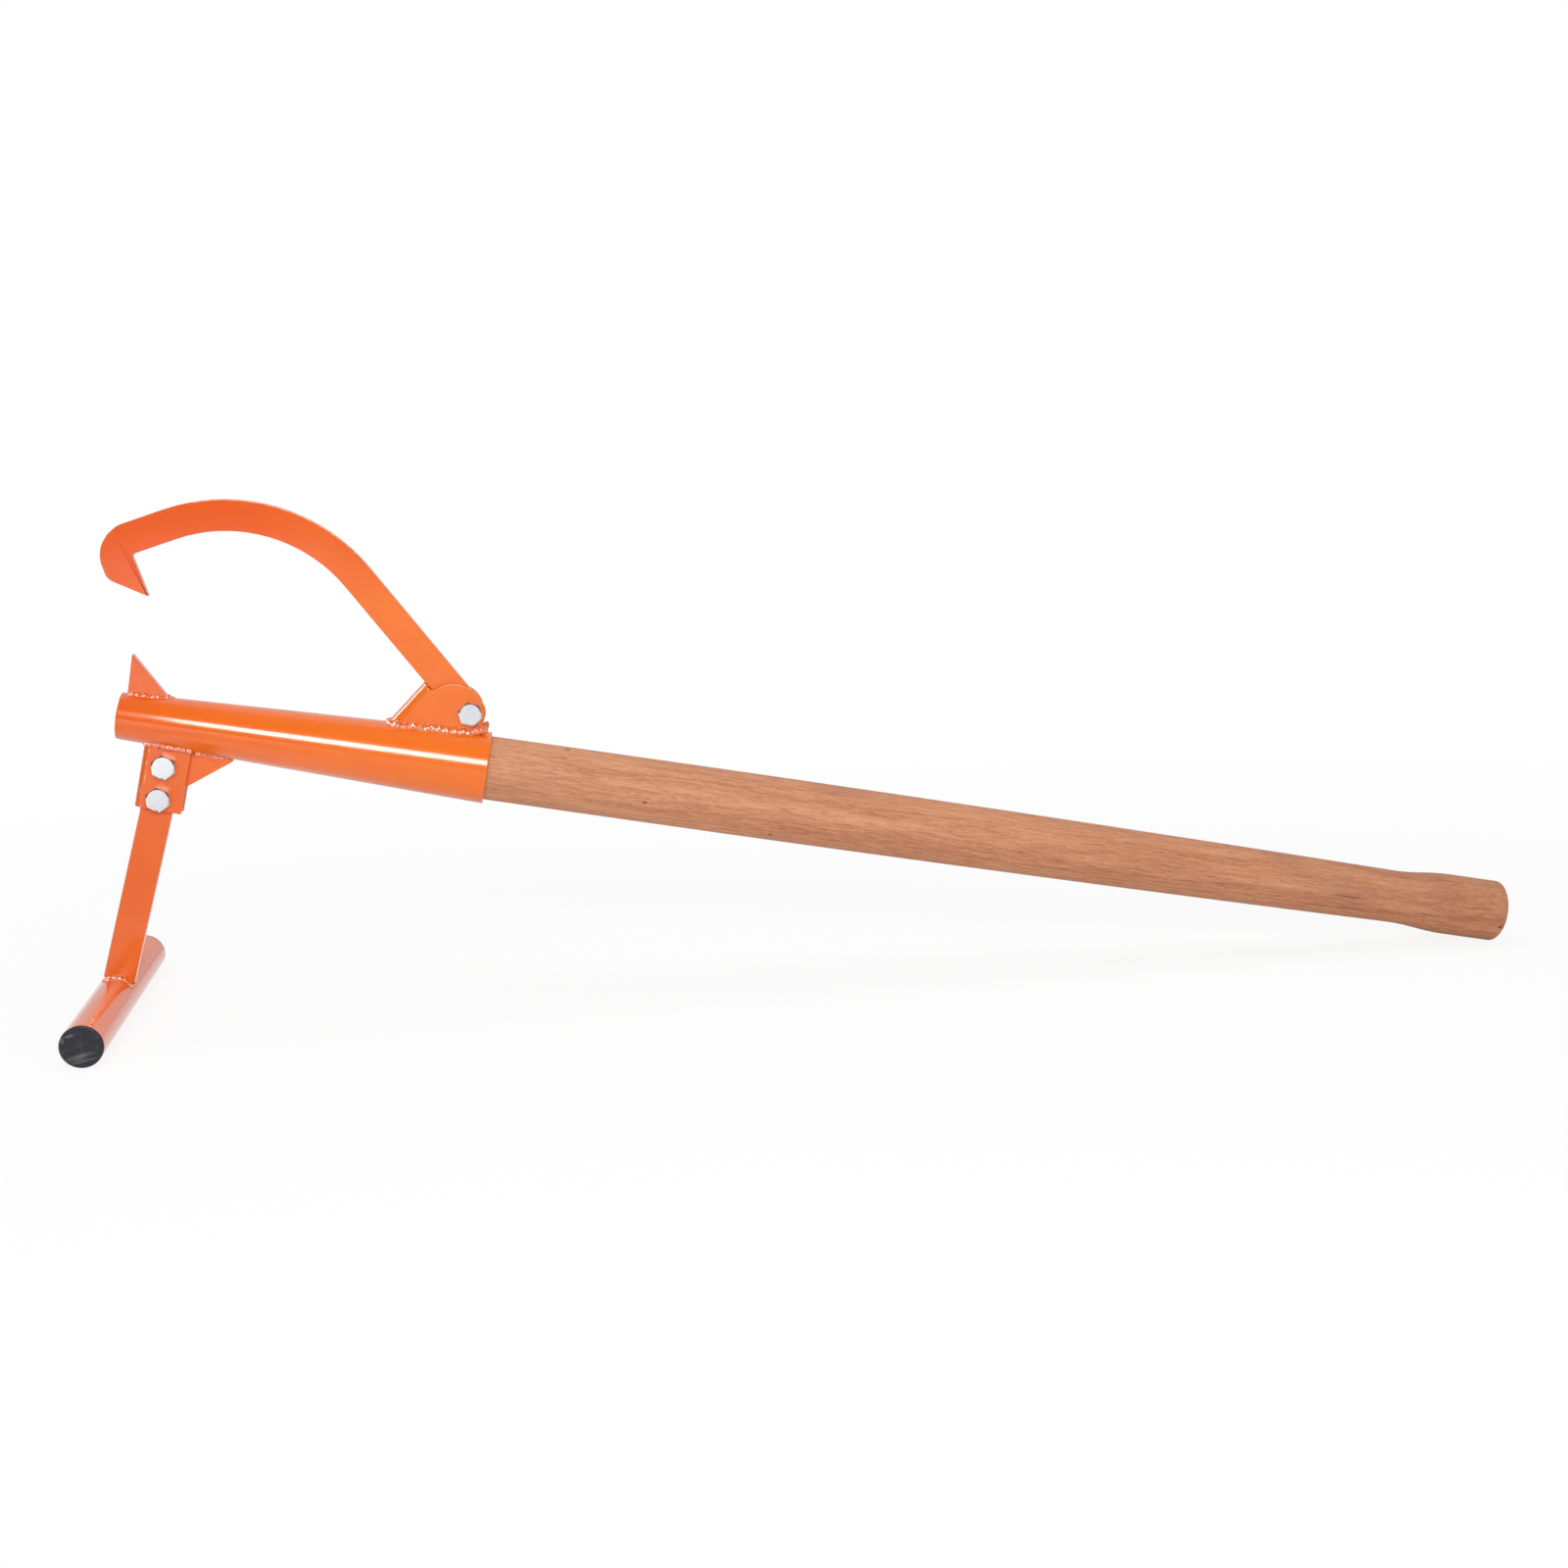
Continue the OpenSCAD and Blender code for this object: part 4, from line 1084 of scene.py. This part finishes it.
def foot_path(size):
    """Closed path round the leg's foot, where it stands on the foot bar."""
    half_turn = math.asin((LEG_HALF - LEG_BEAD_IN) / FOOT_R)
    up = AXIS * math.sin(LEG_LEAN) + RISE * math.cos(LEG_LEAN)
    along = ACROSS.cross(up)
    y = PLATE_HALF + LEG_BEAD_OUT
    path = []
    for face in (-1, 1):
        for turn in straight(-half_turn, half_turn, 12):
            way = up * math.cos(turn) + along * math.sin(turn) * -face
            slim = 1 - 0.3 * (turn / half_turn) ** 2
            path.append((FOOT + way * FOOT_R + ACROSS * y * face, size * slim))
    return path


class LOGLIFTER_OT_sleeve(Operator):
    """Rolled sleeve with softened rims"""
    bl_idname = "log_lifter.sleeve"
    bl_label = "Sleeve"

    def execute(self, context):
        rim = context.scene.log_lifter.steel.rim_round
        obj = turned("sleeve_steel", sleeve_profile(rim), HEAD, AXIS, ACROSS, SLEEVE_SIDES, loop=True)
        dress(obj, "powder coat", "sleeve")
        return {"FINISHED"}


class LOGLIFTER_OT_handle(Operator):
    """Turned wooden handle"""
    bl_idname = "log_lifter.handle"
    bl_label = "Handle"

    def execute(self, context):
        obj = turned("handle_wood", handle_profile(), HEAD, AXIS, ACROSS, BAR_SIDES)
        dress(obj, "turned ash wood", "handle")
        return {"FINISHED"}


class LOGLIFTER_OT_bars(Operator):
    """Hook, leg, tooth and gusset with softened edges"""
    bl_idname = "log_lifter.bars"
    bl_label = "Bars and plates"

    def execute(self, context):
        steel = context.scene.log_lifter.steel
        plate_copy("hook_steel", "hook", steel.bar_edge)
        plate_copy("leg_steel", "leg", steel.bar_edge, off_sleeve)
        plate_copy("tooth_steel", "tooth", steel.plate_edge, off_sleeve)
        plate_copy("gusset_steel", "gusset", steel.plate_edge, off_sleeve)
        return {"FINISHED"}


class LOGLIFTER_OT_brackets(Operator):
    """The two folded brackets with softened edges"""
    bl_idname = "log_lifter.brackets"
    bl_label = "Brackets"

    def execute(self, context):
        edge = context.scene.log_lifter.steel.sheet_edge
        for source in ("hook_bracket", "leg_bracket"):
            plate_copy(source + "_steel", source, edge, off_sleeve)
        return {"FINISHED"}


class LOGLIFTER_OT_fasteners(Operator):
    """Bolts with threads, and lock nuts with their nylon rings"""
    bl_idname = "log_lifter.fasteners"
    bl_label = "Fasteners"

    def execute(self, context):
        for place, turn in HEAD_TURNS.items():
            ring = place + "_nut_ring"
            make_bolt(place + "_bolt_zinc", place + "_bolt", ring, turn)
            make_nut(place + "_nut_zinc", place + "_nut", ring + "_nylon", ring)
        return {"FINISHED"}


class LOGLIFTER_OT_foot(Operator):
    """Foot bar and its two end caps"""
    bl_idname = "log_lifter.foot"
    bl_label = "Foot bar"

    def execute(self, context):
        low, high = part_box("foot_bar")
        inner = FOOT_R - FOOT_WALL
        rings = [(low.y, FOOT_R - FOOT_EDGE), (low.y + FOOT_EDGE, FOOT_R),
                 (high.y - FOOT_EDGE, FOOT_R), (high.y, FOOT_R - FOOT_EDGE),
                 (high.y, inner + FOOT_EDGE), (high.y - FOOT_EDGE, inner),
                 (low.y + FOOT_EDGE, inner), (low.y, inner + FOOT_EDGE)]
        obj = turned("foot_bar_steel", rings, FOOT, ACROSS, LEVEL, BAR_SIDES, loop=True)
        dress(obj, "powder coat", "foot_bar")
        make_cap("front_cap_plastic", "front_cap", -1)
        make_cap("back_cap_plastic", "back_cap", 1)
        return {"FINISHED"}


class LOGLIFTER_OT_welds(Operator):
    """Rippled weld beads round the brackets, tooth, gusset and leg"""
    bl_idname = "log_lifter.welds"
    bl_label = "Welds"

    def execute(self, context):
        hook_bracket = bracket_path(
            HOOK_BRACKET_FOOT, HOOK_BRACKET_END + 2 * MM, HOOK_FOLD, up=True,
            size=4.3 * MM, end_size=4.2 * MM, slim=0.3, out=0.7 * MM, heap=HEAP)
        leg_bracket = bracket_path(
            LEG_BRACKET_FRONT, LEG_BRACKET_BACK, LEG_FOLD, up=False,
            size=3.2 * MM, end_size=3.2 * MM, slim=0.45, out=0.4 * MM)
        tooth = plate_path(
            TOOTH_AT + 2 * MM, TOOTH_HEEL - 2 * MM, up=True, size=2.5 * MM, tail=7 * MM)
        gusset = plate_path(
            LEG_BRACKET_BACK + 4 * MM, GUSSET_TIP - 6 * MM, up=False, size=2.8 * MM, tail=4 * MM)
        make_weld("hook_bracket_bead", "hook_bracket_weld", hook_bracket)
        make_weld("leg_bracket_bead", "leg_bracket_weld", leg_bracket, seed=1)
        make_weld("tooth_bead", "tooth_weld", tooth, seed=2)
        make_weld("gusset_bead", "gusset_weld", gusset, seed=3)
        make_weld("foot_bead", "foot_weld", foot_path(3.4 * MM), closed=True, seed=4)
        return {"FINISHED"}


def facing(forward, up, place):
    """Matrix of a camera or lamp that looks along forward."""
    back = -forward.normalized()
    right = up.cross(back).normalized()
    top = back.cross(right)
    matrix = Matrix((right, top, back)).transposed().to_4x4()
    matrix.translation = place
    return matrix


def add_lamp(name, power, lamp, in_reflections):
    """A rectangular lamp that shows only in reflections, or else lights only matt surfaces."""
    width, height, place = lamp
    place = Vector(place)
    data = bpy.data.lights.new(name, "AREA")
    data.shape = "RECTANGLE"
    data.size = width
    data.size_y = height
    data.energy = power
    obj = add_object(name, data)
    obj.visible_camera = False
    obj.visible_diffuse = not in_reflections
    obj.visible_glossy = in_reflections
    obj.matrix_world = facing(LAMP_TARGET - place, Vector((0.0, 0.0, 1.0)), place)


def ray_kinds(tree):
    """Light Path's answers: seen straight or through glass, and seen as a reflection."""
    rays = node(tree, "ShaderNodeLightPath").outputs
    seen = math_node(tree, "MAXIMUM", rays["Is Camera Ray"], rays["Is Transmission Ray"])
    return seen, rays["Is Glossy Ray"]


def make_world(sky, dim):
    """White where it is seen, dimmer in reflections, most of all in front, and even light otherwise."""
    world = bpy.data.worlds.new("white room")
    bpy.context.scene.world = world
    world.use_nodes = True
    tree = world.node_tree
    shader = tree.nodes["Background"]
    shader.inputs["Color"].default_value = (1.0, 1.0, 1.0, 1.0)
    seen, mirrored_ray = ray_kinds(tree)
    way = node(tree, "ShaderNodeTexCoord").outputs["Generated"]
    depth = node(tree, "ShaderNodeSeparateXYZ", {0: way}).outputs[1]
    mirror_light = map_range(tree, depth, -0.05, 0.45, dim, ROOM_BEHIND)
    light = mix_values(tree, mirrored_ray, sky, mirror_light)
    tree.links.new(mix_values(tree, seen, light, 1.0), shader.inputs["Strength"])


def floor_mirror_light(tree, place, reach, dim):
    """Brightness of the floor in reflections: dim under the tool, brighter by the foot and far out."""
    axes = node(tree, "ShaderNodeSeparateXYZ", {0: place}).outputs
    far = map_range(tree, axes[1], -0.6, 0.2, FLOOR_FRONT, FLOOR_BEHIND)
    from_foot = vector_math(tree, "SUBTRACT", place, (FOOT.x, 0.0, 0.0))
    from_foot = vector_math(tree, "MULTIPLY", from_foot, (6.0, 3.0, 0.0))
    from_foot = vector_math(tree, "LENGTH", from_foot)
    near = map_range(tree, from_foot, 0.7, 1.4, dim + FLOOR_BY_FOOT, dim)
    light = map_range(tree, reach, 0.6, 1.2, near, far)
    return math_node(tree, "ADD", light, map_range(tree, axes[0], -0.9, -0.76, FLOOR_FAR_LEFT, 0.0))


def floor_material(dim):
    """Pale floor that is seen as white and still takes the object's shadow."""
    made = bpy.data.materials.new("pale floor")
    made.use_nodes = True
    tree = made.node_tree
    tree.nodes.clear()
    place = node(tree, "ShaderNodeNewGeometry").outputs["Position"]
    grain = math_node(tree, "MULTIPLY", noise(tree, place, 3.0, 3.0), 0.2)
    colour = mix_colours(tree, grain, (0.9, 0.9, 0.9), (0.86, 0.86, 0.86))
    matt = node(tree, "ShaderNodeBsdfDiffuse", {"Color": colour}).outputs[0]
    seen, mirrored_ray = ray_kinds(tree)
    reach = vector_math(tree, "LENGTH", vector_math(tree, "MULTIPLY", place, (0.55, 1.0, 0.0)))
    light = mix_values(tree, mirrored_ray, 1.0, floor_mirror_light(tree, place, reach, dim))
    glow = node(tree, "ShaderNodeEmission", {"Color": (1.0, 1.0, 1.0, 1.0), "Strength": light}).outputs[0]
    white = map_range(tree, reach, 0.35, 1.1, 0.88, 1.0)
    share = math_node(tree, "MULTIPLY", math_node(tree, "MAXIMUM", seen, mirrored_ray), white)
    both = node(tree, "ShaderNodeMixShader", {0: share, 1: matt, 2: glow}).outputs[0]
    tree.links.new(both, node(tree, "ShaderNodeOutputMaterial").inputs["Surface"])
    return made


class LOGLIFTER_OT_stage(Operator):
    """Floor, soft studio light, white room and the camera"""
    bl_idname = "log_lifter.stage"
    bl_label = "Stage"

    def execute(self, context):
        stage = context.scene.log_lifter.stage
        bm = bmesh.new()
        bmesh.ops.create_grid(bm, x_segments=1, y_segments=1, size=stage.floor_size / 2)
        mesh = bpy.data.meshes.new("floor")
        bm.to_mesh(mesh)
        bm.free()
        mesh.materials.append(floor_material(stage.floor_mirror))
        floor = add_object("floor", mesh)
        make_world(stage.sky, stage.room_mirror)
        add_lamp("key lamp", stage.key_power, KEY_LAMP, in_reflections=False)
        add_lamp("strip lamp", stage.strip_power, STRIP_LAMP, in_reflections=True)
        add_lamp("side lamp", stage.side_power, SIDE_LAMP, in_reflections=True)
        add_lamp("top lamp", stage.top_power, TOP_LAMP, in_reflections=False)
        lens = bpy.data.cameras.new("camera")
        lens.sensor_width = SENSOR_WIDTH
        lens.lens = stage.lens
        camera = add_object("camera", lens)
        camera.matrix_world = facing(CAMERA_FORWARD, CAMERA_UP, CAMERA_PLACE)
        context.scene.camera = camera
        context.scene.view_settings.view_transform = "Standard"
        return {"FINISHED"}


OPERATORS = (LOGLIFTER_OT_stage, LOGLIFTER_OT_sleeve, LOGLIFTER_OT_handle, LOGLIFTER_OT_bars,
             LOGLIFTER_OT_brackets, LOGLIFTER_OT_fasteners, LOGLIFTER_OT_foot, LOGLIFTER_OT_welds)


class LOGLIFTER_PT_panel(Panel):
    """Sizes, colours and pieces of the log lifter"""
    bl_idname = "LOGLIFTER_PT_panel"
    bl_label = "Log lifter"
    bl_space_type = "VIEW_3D"
    bl_region_type = "UI"
    bl_category = "Log lifter"

    def draw(self, context):
        settings = context.scene.log_lifter
        for group in (settings.steel, settings.weld, settings.finish, settings.stage):
            column = self.layout.column(align=True)
            for title in group.__annotations__:
                column.prop(group, title)
        for operator in OPERATORS:
            self.layout.operator(operator.bl_idname)


GROUPS = (SteelSizes, WeldSizes, FinishColours, StageSizes, LogLifter)
CLASSES = GROUPS + OPERATORS + (LOGLIFTER_PT_panel,)


def register():
    for item in CLASSES:
        bpy.utils.register_class(item)
    bpy.types.Scene.log_lifter = PointerProperty(type=LogLifter)


def unregister():
    del bpy.types.Scene.log_lifter
    for item in reversed(CLASSES):
        bpy.utils.unregister_class(item)


def main():
    register()
    for operator in OPERATORS:
        call = getattr(bpy.ops.log_lifter, operator.bl_idname.split(".")[1])
        call()


if __name__ == "__main__":
    main()
